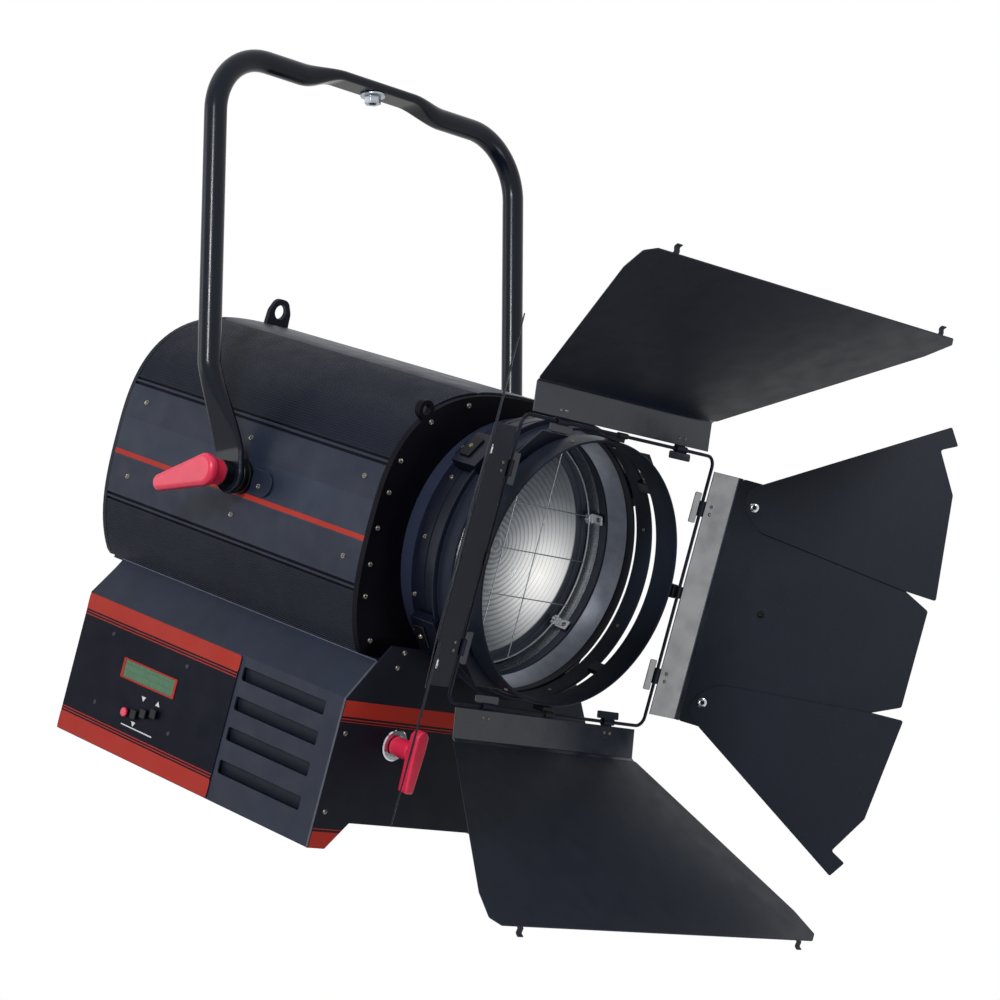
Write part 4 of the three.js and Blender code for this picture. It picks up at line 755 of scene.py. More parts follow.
def walked(path, distances):
    """Points at given distances along a path."""
    result = []
    done = 0
    i = 0
    for distance in distances:
        while i < len(path) - 2 and done + (path[i + 1] - path[i]).length < distance:
            done += (path[i + 1] - path[i]).length
            i += 1
        step = (path[i + 1] - path[i]).length
        result.append(path[i].lerp(path[i + 1], min((distance - done) / step, 1)))
    return result


def ribbed(start, end, side):
    path = between(start, end, 160)
    length = sum((b - a).length for a, b in zip(path, path[1:]))
    count = round(length / RIB_PITCH)
    pitch = length / count
    surface = walked(path, [pitch * (i + share) for i in range(count) for share, _ in RIB_STEPS] + [length])
    depths = [RIB_HEIGHT * (1 - rise) for _ in range(count) for _, rise in RIB_STEPS] + [RIB_HEIGHT]
    return pushed([*inset(surface, depths), *inset(surface, SHEET)[::5][::-1]], side)


for side, word in SIDES:
    for kind, start, end in (("upper", on_top(CROWN_HALF + CROWN_SEAM), on_side(PANEL_TOP + PANEL_SEAM)),
                             ("lower", on_side(PANEL_LOW - PANEL_SEAM), on_side(BASE_SEAT))):
        piece(f"{kind}_ribs_{word}", ribbed(start, end, side), "powder_black", f"{kind}_rib_{word}", smooth=25)
print("rib faces", made["upper_ribs_near"], made["lower_ribs_near"])

# %% [markdown]
# Segments of an extrusion overlap behind their seams, so no light comes through. A thin strip behind
# each seam does the same here: it follows the section just below the sheets and is as dark as they are.

# %% Backing strips
BACKING = 0.9
BACKING_REACH = 6


def backing(place, middle, side):
    path = between(place(middle - BACKING_REACH), place(middle + BACKING_REACH), 8)
    return pushed([*inset(path, SHEET), *inset(path, SHEET + BACKING)[::-1]], side)


strips = [backing(place, middle, side) for side, _ in SIDES
          for place, middle in ((on_top, CROWN_HALF), (on_side, PANEL_TOP), (on_side, PANEL_LOW))]
piece("seam_backing", joined(*strips), "flange_black", slot="powder_black", smooth=25)
print("backing strips", len(strips))

# %% [markdown]
# The smooth crown on top and the flat side panels are the same extrusion without ribs. A panel has a
# long groove near each edge, which with the seam beside it reads as a double line in the photograph.
# The grooves are points of the profile, so they cost almost nothing and stay sharp.

# %% Crown and side panels
CROWN_LIP = 1.2
GROOVES = (PANEL_TOP - 4.6, PANEL_LOW + 4.6)
GROOVE_HALF = 1.7
GROOVE_DEPTH = 2.3
GROOVE = ((GROOVE_HALF, 0), (GROOVE_HALF - 0.2, GROOVE_DEPTH), (0.2 - GROOVE_HALF, GROOVE_DEPTH), (-GROOVE_HALF, 0))


def crown():
    ys = [CROWN_HALF * (1 - i / 14) for i in range(29)]
    outer = [on_top(y) for y in ys]
    for end in (0, -1):
        outer[end] = (outer[end][0], outer[end][1] - CROWN_LIP)
    inner = [(y * (1 - SHEET / CROWN_HALF), section_z(y) - SHEET) for y in ys]
    return pushed(outer + inner[::-1])


def side_panel(side):
    top, low = ([(middle + edge, depth) for edge, depth in GROOVE] for middle in GROOVES)
    face = [(PANEL_TOP, 0.6), (PANEL_TOP - 0.8, 0), *top, *[(z, 0) for z in range(56, -64, -8)], *low,
            (PANEL_LOW + 0.8, 0), (PANEL_LOW, 0.6)]
    back = [(z, SHEET) for z in range(PANEL_LOW, PANEL_TOP + 1, 7)]
    return pushed([(section_y(z) - depth, z) for z, depth in face + back], side)


piece("crown", crown(), "crown_grey", "top_shell", bevel=0.3, segments=1, smooth=25)
for side, word in SIDES:
    piece(f"panel_{word}", side_panel(side), "powder_grey", f"side_panel_{word}", smooth=25)
print("panel faces", made["panel_near"])

# %% [markdown]
# A red line is printed on a clear film along the middle of each panel. Film and print are real layers
# a tenth of a millimetre thick, because that is what makes the faint edge in the photograph. Both
# follow the panel's slight curve.

# %% Printed line and film
FILM_HEIGHTS = (-25, 23)
LINE_HEIGHTS = (-23, -17)


def skin(side, low, high, trim, lift, depth):
    zs = [low + (high - low) * i / 8 for i in range(9)]
    outer, inner = ([(section_y(z) + lift + rise, z) for z in zs] for rise in (depth, -0.1))
    return pushed(outer + inner[::-1], side, HOUSING[0] + trim, HOUSING[1] - trim)


painted_groove_shades = []
for side, word in SIDES:
    piece(f"side_film_{word}", skin(side, *FILM_HEIGHTS, 0.4, 0, 0.08), "clear_film", slot="overlay_film")
    piece(f"side_line_{word}", skin(side, *LINE_HEIGHTS, 0.3, 0.08, 0.06), "print_red", slot="red_plastic")
    # On the floor of each groove lies a dark flange_black strip: painted shade that makes the groove read dark.
    for middle in GROOVES:
        half = GROOVE_HALF - 0.25
        painted_groove_shades.append(skin(side, middle - half, middle + half, 0.2, -GROOVE_DEPTH, 0.15))
piece("groove_painted_shade", joined(*painted_groove_shades), "flange_black", slot="powder_black")
print("film height", FILM_HEIGHTS[1] - FILM_HEIGHTS[0])

# %% [markdown]
# Six screws hold each panel, in two rows. They stand square to the panel's curve, so their direction
# is taken from the section a little above and below them.

# %% Panel screws
SCREW_COLUMNS = (-440, -238, -36)
SCREW_ROWS_Z = (-46, 46)
screws("panel_screws", [
    screw_head(3.6, 1.8, (x, side * section_y(z), z), (0, side * 2, section_y(z - 1) - section_y(z + 1)), x % 90)
    for side, _ in SIDES for x in SCREW_COLUMNS for z in SCREW_ROWS_Z])

# %% [markdown]
# The front flange is a cast plate, almost black, cut away for the lens tube and flat at the bottom
# where the base starts. Its two ears take a safety chain. A row of small screws follows its edge, and
# their places were read off the photograph as real sizes.

# %% Front flange
FLANGE_BACK = -8
FLANGE_GROW = 2
FLANGE_TOP_DROP = 5
EYE = (166, 134)
BORE = 150.6
FLANGE_SCREWS = ((105, 149), (155, 122), (185, 73), (190, 36), (193, -5), (190, -46), (185, -82), (161, -130))


def plate_outline(grow=0, top_drop=0, steps=144):
    kept = []
    for i in range(steps):
        point = section_point(math.tau * i / steps, grow, top_drop)
        point.y = max(point.y, BASE_SEAT)
        if not kept or (point - kept[-1]).length > 1.5:
            kept.append(point)
    return kept


def eyes(radius, over):
    return [disc(radius, FLANGE_BACK - over, over, y=side * EYE[0], z=EYE[1]) for side, _ in SIDES]


def plate_screws(radius, height, x, way, places):
    """Screws in a plate across the beam, the same on both sides, each with its own turn."""
    return [screw_head(radius, height, (x, side * y, z), (way, 0, 0), turn) for side, _ in SIDES
            for y, z, turn in places]


plate = drilled(prism(plate_outline(FLANGE_GROW, FLANGE_TOP_DROP), FLANGE_BACK, 0, "X"), eyes(11, 0), "UNION")
plate = drilled(plate, [disc(BORE, FLANGE_BACK - 2, 2, sides=ROUND), *eyes(6, 2)])
piece("flange_plate", plate, "flange_black", "front_flange", bevel=0.8)
screws("flange_screws", plate_screws(3.2, 1.8, 0, 1, [(y, z, y % 90) for y, z in FLANGE_SCREWS]))

# %% [markdown]
# At the rear a plate closes the housing, with a punched guard in front of the fan and a tab with an
# eye for the safety cable. The photograph doesn't show this side, so it follows the usual design.
# The guard's rings and spokes are turned rings and thin blocks laid over the opening.

# %% Rear plate
REAR_BACK = -481.2
REAR_FRONT = -475.2
FAN_Z = 20
FAN_BORE = 56
FAN_SCREW = 52.5
SAFETY_Z = 189


def mirrored(half):
    """An outline from its far half, given from one end to the other."""
    return half + [(-y, z) for y, z in half[::-1]]


def rear_plate():
    tab = rounded(mirrored([(19, 150), (17, SAFETY_Z), (9, SAFETY_Z + 16.4)]), 12)
    plate, tab = (prism(outline, REAR_BACK, REAR_FRONT, "X") for outline in (plate_outline(), tab))
    return drilled(drilled(plate, [tab], "UNION"), [
        disc(9, REAR_BACK - 2, REAR_FRONT + 2, z=SAFETY_Z),
        disc(FAN_BORE, REAR_BACK - 2, REAR_FRONT + 2, z=FAN_Z, sides=64)])


def fan_guard():
    rings = [ring(radius + 1.3, radius - 1.3, REAR_BACK + 1, REAR_FRONT - 2, 64) for radius in (14, 24, 34, 44)]
    spoke = block(REAR_BACK + 1.2, REAR_FRONT - 1.8, -1.6, 1.6, 0, FAN_BORE + 2)
    spokes = [around_beam(spoke, 30 + 60 * i) for i in range(6)]
    return shifted(joined(*rings, *spokes, disc(8, REAR_BACK + 0.8, REAR_FRONT - 1.6)), z=FAN_Z)


piece("rear_cover", rear_plate(), "powder_black", "rear_plate", bevel=0.7)
piece("fan_guard", fan_guard(), "powder_black", bevel=0.3, segments=1)
heads = plate_screws(3.2, 1.8, REAR_BACK, -1, [(y * 0.97, z * 0.97, y % 90) for y, z in FLANGE_SCREWS[::2]])
heads += plate_screws(2.6, 1.6, REAR_BACK, -1, [(FAN_SCREW, FAN_Z + up * FAN_SCREW, 20) for up in (-1, 1)])
screws("rear_screws", heads)

# %% [markdown]
# The yoke is one length of steel pipe, bent twice, flattened at the top for the clamp and at both
# ends for the pivots. It is lofted: a stadium-shaped section walks along the bend line, and its two
# half sizes change from round pipe to flat blade. Many stations keep the bends smooth.

# %% Yoke
PIPE = 13.45
ARM_SPREAD = 253.9
BLADE_SPREAD = 219
BLADE_THIN = 4
BLADE_WIDE = 22.5
BLADE_TOP = 24
LEAN_TOP = 125
YOKE_TOP = 522
BAR_Z = 506.1
BEND = 78.35
FLAT_THIN = 6
FLAT_WIDE = 18.5
FLAT_REACH = 58
FLAT_RUN = 62
YOKE_SIDES = 40


def ease(share):
    return share * share * (3 - 2 * share)


def blend_of(a, b, share):
    return a + (b - a) * share


def half_yoke():
    """Stations (y, z, half thickness, half width) from an arm's end to the middle of the top."""
    stations = []
    for i in range(10):
        angle = math.radians(86 - 9.55 * i)
        stations.append((BLADE_SPREAD, -BLADE_WIDE * math.sin(angle), BLADE_THIN, BLADE_WIDE * math.cos(angle)))
    for i in range(17):
        share = i / 16
        lean = blend_of(BLADE_SPREAD, ARM_SPREAD, blend_of(share, ease(share), 0.35))
        stations.append((lean, blend_of(BLADE_TOP, LEAN_TOP, share), blend_of(BLADE_THIN, PIPE, ease(share)),
                         blend_of(BLADE_WIDE, PIPE, ease(share))))
    stations += [(y, z, PIPE, PIPE) for y, z in arc(ARM_SPREAD - BEND, BAR_Z - BEND, BEND, 0, 90, 20)]
    for i in range(15):
        share = ease(i / 14)
        stations.append((FLAT_REACH + FLAT_RUN * (1 - i / 14), blend_of(BAR_Z, YOKE_TOP - FLAT_THIN, share),
                         blend_of(PIPE, FLAT_THIN, share), blend_of(PIPE, FLAT_WIDE, share)))
    return stations


def yoke_shape():
    stations = half_yoke()
    stations += [(-y, *rest) for y, *rest in stations[::-1]]
    half_step = 180 / YOKE_SIDES
    points = []
    for i, (y, z, thin, wide) in enumerate(stations):
        y0, z0 = stations[max(i - 1, 0)][:2]
        y1, z1 = stations[min(i + 1, len(stations) - 1)][:2]
        length = math.hypot(y1 - y0, z1 - z0)
        corner = min(thin, wide)
        for c, s in arc(0, 0, 1, half_step, 360 + half_step, YOKE_SIDES)[:-1]:
            x = s * corner + math.copysign(max(wide - corner, 0), s)
            points.append(Vector((x, y + (z1 - z0) / length * c * thin, z - (y1 - y0) / length * c * thin)))
    return points, capped(len(stations), YOKE_SIDES)


pipe = drilled(yoke_shape(), [disc(6.5, YOKE_TOP - 16, YOKE_TOP + 4, plane="Z")])
piece("yoke_pipe", pipe, "yoke_black", "yoke_tube", "yoke", place=YOKE, smooth=40)
print("yoke faces", made["yoke_pipe"])

# %% [markdown]
# Under the flattened top sit a washer and a hexagon nut, bare zinc. The washer is turned with small
# chamfers, and the nut is a hexagon with a bore.

# %% Clamp nut
NUT_TOP = YOKE_TOP - 12.3
washer = upright(turned([(5.2, 0), (15, 0), (15.5, 0.5), (15.5, 2.5), (15, 3), (5.2, 3)], 48))
nut = drilled(prism(circle(10.5, 6), -9, 0, "Z"), [disc(5, -12, 3, plane="Z")])
stack = joined(shifted(washer, z=NUT_TOP - 3), shifted(nut, z=NUT_TOP - 3.05))
piece("clamp_nut_and_washer", stack, "zinc", "clamp_nut", "yoke", place=YOKE, bevel=0.5)
print("clamp nut under", NUT_TOP)

# %% [markdown]
# At each pivot a disc keeps the arm off the housing. On the near side a rounded stop plate is screwed
# to the panel beside it, and the red lever outside clamps the tilt. On the far side a washer and a
# nut close the bolt.

# %% Tilt pivot
DISC_OUT = 214.4
STOP_MIDDLE = -193
STOP_HALF = 15
STOP_START = PIVOT_X + 21.6


def sideways(shape, side, x=PIVOT_X):
    """A shape made along X, turned so that it points out to one side."""
    return shifted(moved(shape, Matrix.Rotation(math.radians(90 * side), 4, "Z")), x)


disc_profile = [(6.3, 200.3), (20.2, 200.3), (21, 201.1), (21, 205), (19.6, 205.6), (19.6, 209.2),
                (21, 209.8), (21, 213.6), (20.2, DISC_OUT), (6.3, DISC_OUT)]
piece("friction_washer", sideways(turned(disc_profile, 96), -1), "black_plastic", "friction_disc")
far_profile = [(0, 188), (14, 188), (14, 192), (6, 192), (6, 200.3), (20.2, 200.3), (21, 201.1),
               (21, 213.6), (20.2, DISC_OUT), (6, DISC_OUT), (6, 223.6), (12.6, 223.6), (13, 224),
               (13, 225.2), (12.6, 225.6), (6, 225.6), (6, 234.6), (0, 235)]
far_bolt = joined(turned(far_profile, 64, closed=False), prism(circle(11, 6), 225.6, 233.6, "X"))
piece("far_pivot_bolt", sideways(far_bolt, 1), "zinc", "pivot_bolt_far", bevel=0.4)
stop = [(STOP_START, -STOP_HALF), *arc(STOP_MIDDLE, 0, STOP_HALF, -90, 90, 15), (STOP_START, STOP_HALF)]
piece("stop_plate", prism(stop, -203.3, -200.3, "Y"), "powder_grey", "tilt_stop_plate", bevel=0.7)
screws("stop_screw", [screw_head(3.2, 1.8, (-198.6, -203.3, -4), (0, -1, 0))])

# %% [markdown]
# The tilt lever is a fat, soft-edged moulding. Its outline is two arcs, a big one at the hub and a
# smaller one at the tip, pushed through and then rounded by a wide bevel of several segments, which
# is what gives moulded plastic its long highlights.

# %% Tilt lever
LEVER_TIP = (-77, -5)
paddle = prism(arc(0, 0, 19, -90, 90, 18) + arc(*LEVER_TIP, 10, 90, 270, 15), -263, -249, "Y")
collar_profile = [(6.3, 223.6), (14.4, 223.6), (15, 224.2), (15, 235.4), (14.4, 236), (6.3, 236)]
hub_profile = [(6.3, 236), (14.2, 236), (14.6, 236.4), (14.8, 244), (16.5, 247.5), (16.5, 250.5), (6.3, 250.5)]
piece("lever_paddle", paddle, "red_plastic", "tilt_lock_handle", "tilt_lock", place=YOKE, bevel=5.5, segments=5,
      smooth=60)
for name, profile, finish in (("hub", hub_profile, "red_plastic"), ("collar", collar_profile, "black_plastic")):
    piece(f"lever_{name}", sideways(turned(profile, 64), -1, 0), finish, body="tilt_lock", place=YOKE)
print("lever tip", LEVER_TIP)

# %% [markdown]
# The base is a box of folded sheet. Each side sheet has a fold at the shoulder and four slots for air,
# and behind each slot a louvre slants inward, so that no screw can fall in. The fold is drawn as a
# short arc in the profile, because a real brake never leaves a sharp corner.

# %% Base sheets
BASE_HALF = 198
BASE_TOP_HALF = 165.6
SHOULDER = -193.1
BOTTOM = -364.2
FLOOR = -333
FOOT_INNER = 172
FOOT_SLOPE = 145
BASE_FRONT = 25.9
BASE_REAR = -453.9
GAP = 0.3
SHEETS = (BASE_REAR + SHEET + GAP, BASE_FRONT - SHEET - GAP)
SIDE_PATH = [(BASE_HALF, BOTTOM), (BASE_HALF, SHOULDER), (BASE_TOP_HALF, BASE_SEAT - GAP)]
VENT_X = (-150, -4)
VENT_HEIGHT = 15.5
VENT_TOPS = [blend_of(SHOULDER, BOTTOM, share) for share in (0.07, 0.274, 0.484, 0.712)]
LIP_Y = 164.8
LIP_Z = -147.6
LIP_RADIUS = 1.3
EDGE = 0.15


def rectangle(x0, x1, y0, y1, radius):
    return rounded(box(x0, x1, y0, y1), radius)


def folded(path, wall, radius):
    """The outline of a bent sheet: an open path with arcs for its corners, and a wall inside it."""
    outer = [Vector(path[0])]
    for before, corner, after in zip(path, path[1:], path[2:]):
        outer += corner_arc(before, corner, after, radius, 5)
    outer.append(Vector(path[-1]))
    return [*outer, *inset(outer, wall)[::-1]]


def side_sheet(side):
    middle = side * BASE_HALF
    return drilled(pushed(folded(SIDE_PATH, SHEET, 5), side, *SHEETS), [
        prism(rectangle(*VENT_X, top - VENT_HEIGHT, top, 2.5), middle - 8, middle + 8, "Y") for top in VENT_TOPS])


def louvre(top, side):
    low = top - VENT_HEIGHT
    return pushed([(194.6, top + 2), (194.6, top - 0.5), (188.5, low - 1), (187, low - 1), (192.6, top + 2)],
                  side, VENT_X[0] - 4, VENT_X[1] + 4)


for side, word in SIDES:
    piece(f"base_sheet_{word}", side_sheet(side), "powder_grey", f"base_side_{word}", slot="powder_black",
          bevel=0.5, segments=1)
    piece(f"louvres_{word}", joined(*[louvre(top, side) for top in VENT_TOPS]), "louvre_grey", slot="powder_black")
    # A lighter grey rounded lip along the top of each sheet and a lighter grey band along its front corner are
    # painted highlights, for the light that these edges catch.
    lip = tube([(x, side * LIP_Y, LIP_Z) for x in SHEETS], LIP_RADIUS)
    piece(f"base_lip_highlight_{word}", lip, "lip_grey", slot="powder_grey")
    edge = folded([(y + EDGE, z) for y, z in SIDE_PATH], 0.6, 5)
    piece(f"base_edge_highlight_{word}", pushed(edge, side, SHEETS[1] + 0.1, BASE_FRONT - 0.3), "lip_grey", slot="powder_grey")
floor_path = mirrored([(BASE_HALF - SHEET - GAP, BOTTOM), (FOOT_INNER, BOTTOM), (FOOT_SLOPE, FLOOR)])
piece("base_floor", pushed(folded(floor_path, SHEET, 4), 1, *SHEETS), "powder_black", "base_bottom", bevel=0.4,
      segments=1)
print("base slots at", [round(top, 1) for top in VENT_TOPS])

# %% [markdown]
# Two flat plates close the box. The front one reaches up around the lens tube in two horns and has a
# red band across it and on its feet, printed as on the side. The rear one holds the sockets. The
# bands are thin blocks just proud of the plate, and the plate's own edges are bevelled to catch light.

# %% Front and rear plates
HORN = (150, -128)
PRINT = 0.12
FRONT_SCREWS = ((134, -152), (129, -134), (186, -232), (186, -322))
REAR_SCREWS = ((150, -165), (186, -210), (186, -345), (60, -165))


def end_plate(top_half, top, low, high):
    half = [(FOOT_SLOPE, FLOOR), (FOOT_INNER, BOTTOM), (BASE_HALF, BOTTOM), (BASE_HALF, SHOULDER), (top_half, top)]
    return prism(mirrored(half), low, high, "X")


def printed(outline, side=1):
    return pushed(outline, side, BASE_FRONT - 0.1, BASE_FRONT + PRINT)


def foot_print(side, top, low):
    slope = (FOOT_INNER - FOOT_SLOPE) / (FLOOR - BOTTOM)
    inner = [(FOOT_INNER - (z - BOTTOM) * slope + 0.8, z) for z in (top, low)]
    return printed(inner + [(BASE_HALF - 1, low), (BASE_HALF - 1, top)], side)


front = drilled(end_plate(*HORN, BASE_FRONT - SHEET, BASE_FRONT),
                [disc(BORE, BASE_FRONT - 6, BASE_FRONT + 3, sides=ROUND)])
piece("front_plate", front, "front_black", "base_front_plate", slot="flange_black", bevel=0.8)
bands = [printed(box(1 - BASE_HALF, BASE_HALF - 1, low, top))
         for top, low in ((-195, -213), (-215.4, -216.6), (-218.6, -219.4))]
bands += [foot_print(side, top, low) for side, _ in SIDES for top, low in ((-345, -363.4), (-341.4, -342.4))]
piece("front_bands", joined(*bands), "print_red", slot="red_plastic")
screws("front_plate_screws", plate_screws(3.2, 1.8, BASE_FRONT, 1, [(y, z, z % 90) for y, z in FRONT_SCREWS]))
rear = drilled(end_plate(BASE_TOP_HALF - SHEET - 1, BASE_SEAT - GAP * 2, BASE_REAR, BASE_REAR + SHEET),
               [disc(12.6, BASE_REAR - 3, BASE_REAR + 6, 0, y, -270) for y in (110, -100, -60)])
piece("rear_plate_base", rear, "powder_black", "base_rear_plate", bevel=0.6)
screws("rear_plate_screws", plate_screws(3, 1.7, BASE_REAR, -1, [(y, z, z % 90) for y, z in REAR_SCREWS]))

# %% [markdown]
# The control panel is a printed film on the near side: dark, with a red band along the top and the
# bottom and two hairlines beside each. The film has rounded corners, and small screws show through.
# No words are printed. A few plain marks stand where a user looks for the keys.

# %% Control film
FILM_FACE = -199.1
FILM_BACK = -198.3
FILM_X = (-452.6, -157)
FILM_Z = (-363.2, -194.1)
HAIRLINE_X = (FILM_X[0] + 1, FILM_X[1] - 1)


def on_film(outline):
    return prism(outline, FILM_FACE - PRINT, FILM_FACE + 0.05, "Y")


film = prism(rectangle(*FILM_X, *FILM_Z, 4), FILM_FACE, FILM_BACK, "Y")
piece("control_film", film, "overlay_film", "control_overlay", bevel=0.2, segments=1)
red = [on_film(rectangle(*FILM_X, low, high, 3.9)) for low, high in ((-213.5, FILM_Z[1]), (FILM_Z[0], -341))]
red += [on_film(box(*HAIRLINE_X, z - 0.6, z + 0.6)) for z in (-216.2, -219.4, -338.4, -335.2)]
piece("film_bands", joined(*red), "print_red", slot="overlay_film")
marks = [on_film(box(-336, -276, -326.4, -325))]
marks += [on_film([(x - 4, z), (x + 4, z), (x, tip)])
          for x, z, tip in ((-307, -285, -291), (-314.5, -318, -324), (-279.5, -289, -283))]
piece("film_marks", joined(*marks), "print_white", slot="overlay_film")
screws("film_screws", [screw_head(2.6, 1.4, (x, FILM_FACE, z), (0, -1, 0), z % 90)
                       for x, z in ((-390, -230), (-245, -231), (-393, -315), (-248, -313))], "lip_grey")

# %% [markdown]
# The display is a small liquid-crystal module behind a red frame. Its character cells come from the
# material. The first key is round and red, and the other three are square caps with soft edges, each
# riding on its own button, so all four can be pressed.

# %% Display and keys
DISPLAY = (-359, -255, -274, -250)
WINDOW = (-355, -259, -272, -252)
KEYS = (("menu", -332.5, -311), ("down", -314.5, -309), ("enter", -297.5, -303.5), ("up", -279.5, -298.5))
KEY_HALF = 5.5
CAP = (-203.7, -200.6)
STEM_END = -192.4
x0, x1, z0, z1 = WINDOW
bezel = drilled(prism(rectangle(*DISPLAY, 2), -199.9, FILM_FACE + 0.1, "Y"), [block(x0, x1, -202, -197, z0, z1)])
piece("display_frame", bezel, "print_red", slot="overlay_film", bevel=0.25, segments=1)
piece("display_face", block(x0 + 0.02, x1 - 0.02, -199.3, -198, z0 + 0.02, z1 - 0.02), "display_green",
      own_directions=True)
for name, x, z in KEYS:
    if name == "menu":
        cap = disc(KEY_HALF, *CAP, x, 0, z, "Y", 48)
    else:
        cap = prism(rectangle(x - KEY_HALF, x + KEY_HALF, z - KEY_HALF, z + KEY_HALF, 1.5), *CAP, "Y")
    stem = disc(3, CAP[1] - 0.5, STEM_END, x, 0, z, "Y", 16)
    piece(f"key_cap_{name}", joined(cap, stem), "red_plastic" if name == "menu" else "black_plastic",
          f"{name}_key", f"{name}_button", bevel=1.0, segments=3)
print("keys", [key[0] for key in KEYS])

# %% [markdown]
# Focus is set by a red wing knob on a screw at the front, behind which lies a bright ring. The wing is
# one outline with wide bevels, like the tilt lever, and a turned hub runs into it.

# %% Focus knob
KNOB = (0, -108, -239)
wing = rounded([(-6, -45), (6, -45), (8.5, 0), (8.5, 21), (3, 27), (-3, 27), (-8.5, 21), (-8.5, 0)], 3.5)
hub = turned([(0, 29), (10.4, 29), (11, 29.6), (11, 52), (9.5, 56), (0, 56)], 64, closed=False)
collar = turned([(6, 26.2), (18, 26.2), (18.5, 26.6), (18.5, 27.4), (17, 28.4), (12.6, 28.4), (12, 27.6),
                 (6, 27.6)], 96)
piece("knob_wing", shifted(prism(wing, 54, 69, "X"), *KNOB), "red_plastic", "focus_knob", "focus_drive", bevel=3.6,
      segments=5, smooth=60)
piece("knob_hub", shifted(hub, *KNOB), "red_plastic", body="focus_drive")
piece("knob_collar", shifted(collar, *KNOB), "chrome", "knob_escutcheon")
print("knob faces", made["knob_wing"])

# %% [markdown]
# The lens sits deep in a tube. A turned cell holds the glass by a lip, a loop of thin wire with cross
# bars guards it, and four bright hooks hold the guard. Turned parts are profiles spun about the
# beam, with small chamfers, so that their rims show as thin lit lines.

# %% Lens tube, cell and guard
TUBE = 150
TUBE_BORE = 146
TUBE_FRONT = 26
GUARD_X = 7
GUARD_LOOP = 137
GUARD_WIRE = 0.7
HOOKS = (-68, -122, 22, 158)
tube_profile = [(TUBE_BORE, -30), (TUBE, -30), (TUBE, -2), (TUBE - 0.5, -1.4), (TUBE - 0.5, 0.6), (TUBE, 1.2),
                (TUBE, TUBE_FRONT - 0.7), (TUBE - 0.7, TUBE_FRONT), (TUBE_BORE + 0.5, TUBE_FRONT),
                (TUBE_BORE, TUBE_FRONT - 0.5)]
piece("tube_shell", turned(tube_profile, FINE), "tube_blue", "lens_tube", slot="ring_blue")
cell_profile = [(129, -6), (134, -6), (134, -24), (145.4, -24), (145.4, -5), (144.6, -4), (139, -4), (138, -4.8),
                (134, -4.8), (133, -4), (130, -4), (129, -5)]
piece("cell", turned(cell_profile, FINE), "lip_grey", "lens_cell", slot="black_plastic")
piece("tube_liner", ring(TUBE_BORE, TUBE_BORE - 0.5, -3.5, 16, FINE), "brushed_steel", slot="aluminium")
wires = [tube([(GUARD_X, y, z) for y, z in circle(GUARD_LOOP, 128)], 1.1, 10, closed=True)]
for offset in (-54, 0, 54):
    reach = math.sqrt(GUARD_LOOP ** 2 - offset ** 2)
    wires.append(tube([(GUARD_X + 0.5, end, offset) for end in (-reach, reach)], GUARD_WIRE, 10))
    wires.append(tube([(GUARD_X - 0.5, offset, end) for end in (-reach, reach)], GUARD_WIRE, 10))
piece("guard_wires", joined(*wires), "aluminium", "wire_guard", slot="zinc")
strap = prism(rounded([(2, 136), (9, 136), (9, 141.6), (24, 141.6), (24, 144), (2, 144)], 0.8), -6, 6, "Y")
hook = joined(strap, disc(2.4, 133.6, 136.4, 5.5, plane="Z", sides=20))
piece("guard_hooks", joined(*[around_beam(hook, degrees) for degrees in HOOKS]), "brushed_steel", slot="zinc",
      bevel=0.4)
screws("hook_screws", [beam_screw(3, 1.6, degrees, 18, 141.6, way=-1) for degrees in HOOKS])

# %% [markdown]
# A fresnel lens is a convex lens cut into rings and pushed flat. Sixteen steps are turned here, each
# rising to its inner edge as on the real one, with a domed crown in the middle. Smaller lenses could
# leave the rings to a bump, but these are six millimetres wide and show at the silhouette of the dome.

# %% Fresnel lens
LENS_BACK = -16
LENS_BASE = -10
LENS_SEAT = -6.6
LENS_RIM = 133.4
LENS_REACH = 126
CROWN = 26
CROWN_RISE = 4.2
LENS_STEPS = round((LENS_REACH - CROWN) / LENS_PITCH)
LENS_SIDES = 256


def lens():
    rows = [(0.01, LENS_BASE + CROWN_RISE)]
    rows += [(CROWN * i / 6, LENS_BASE + CROWN_RISE * (1 - (i / 6) ** 2) + 0.3) for i in range(1, 7)]
    step = (LENS_REACH - CROWN) / LENS_STEPS
    for i in range(LENS_STEPS):
        inner = CROWN + step * i
        tooth = blend_of(1.6, 3.2, i / (LENS_STEPS - 1))
        rows += [(inner + step * run, LENS_BASE + tooth * rise) for run, rise in ((0.04, 1), (0.5, 0.62), (0.96, 0))]
    rows += [(LENS_REACH + 0.4, LENS_SEAT), (LENS_RIM, LENS_SEAT), (LENS_RIM, LENS_BACK), (0.01, LENS_BACK)]
    return turned(rows, LENS_SIDES, closed=False)


piece("lens_glass", lens(), "clear_glass", "fresnel_lens", smooth=25, own_directions=True)
print("lens faces", made["lens_glass"])

# %% [markdown]
# In front of the tube sits the accessory ring: a back wall, a band and a sloping skirt inside it that
# mirrors the lens. Two rolled grooves stiffen the band. The skirt is the brightest of the inner
# surfaces, so it is bare steel.

# %% Accessory ring
RING_FRONT = 63
RING = 158


def groove(x):
    return [(RING, x), (RING - 0.9, x + 0.6), (RING - 0.9, x + 2), (RING, x + 2.6)]


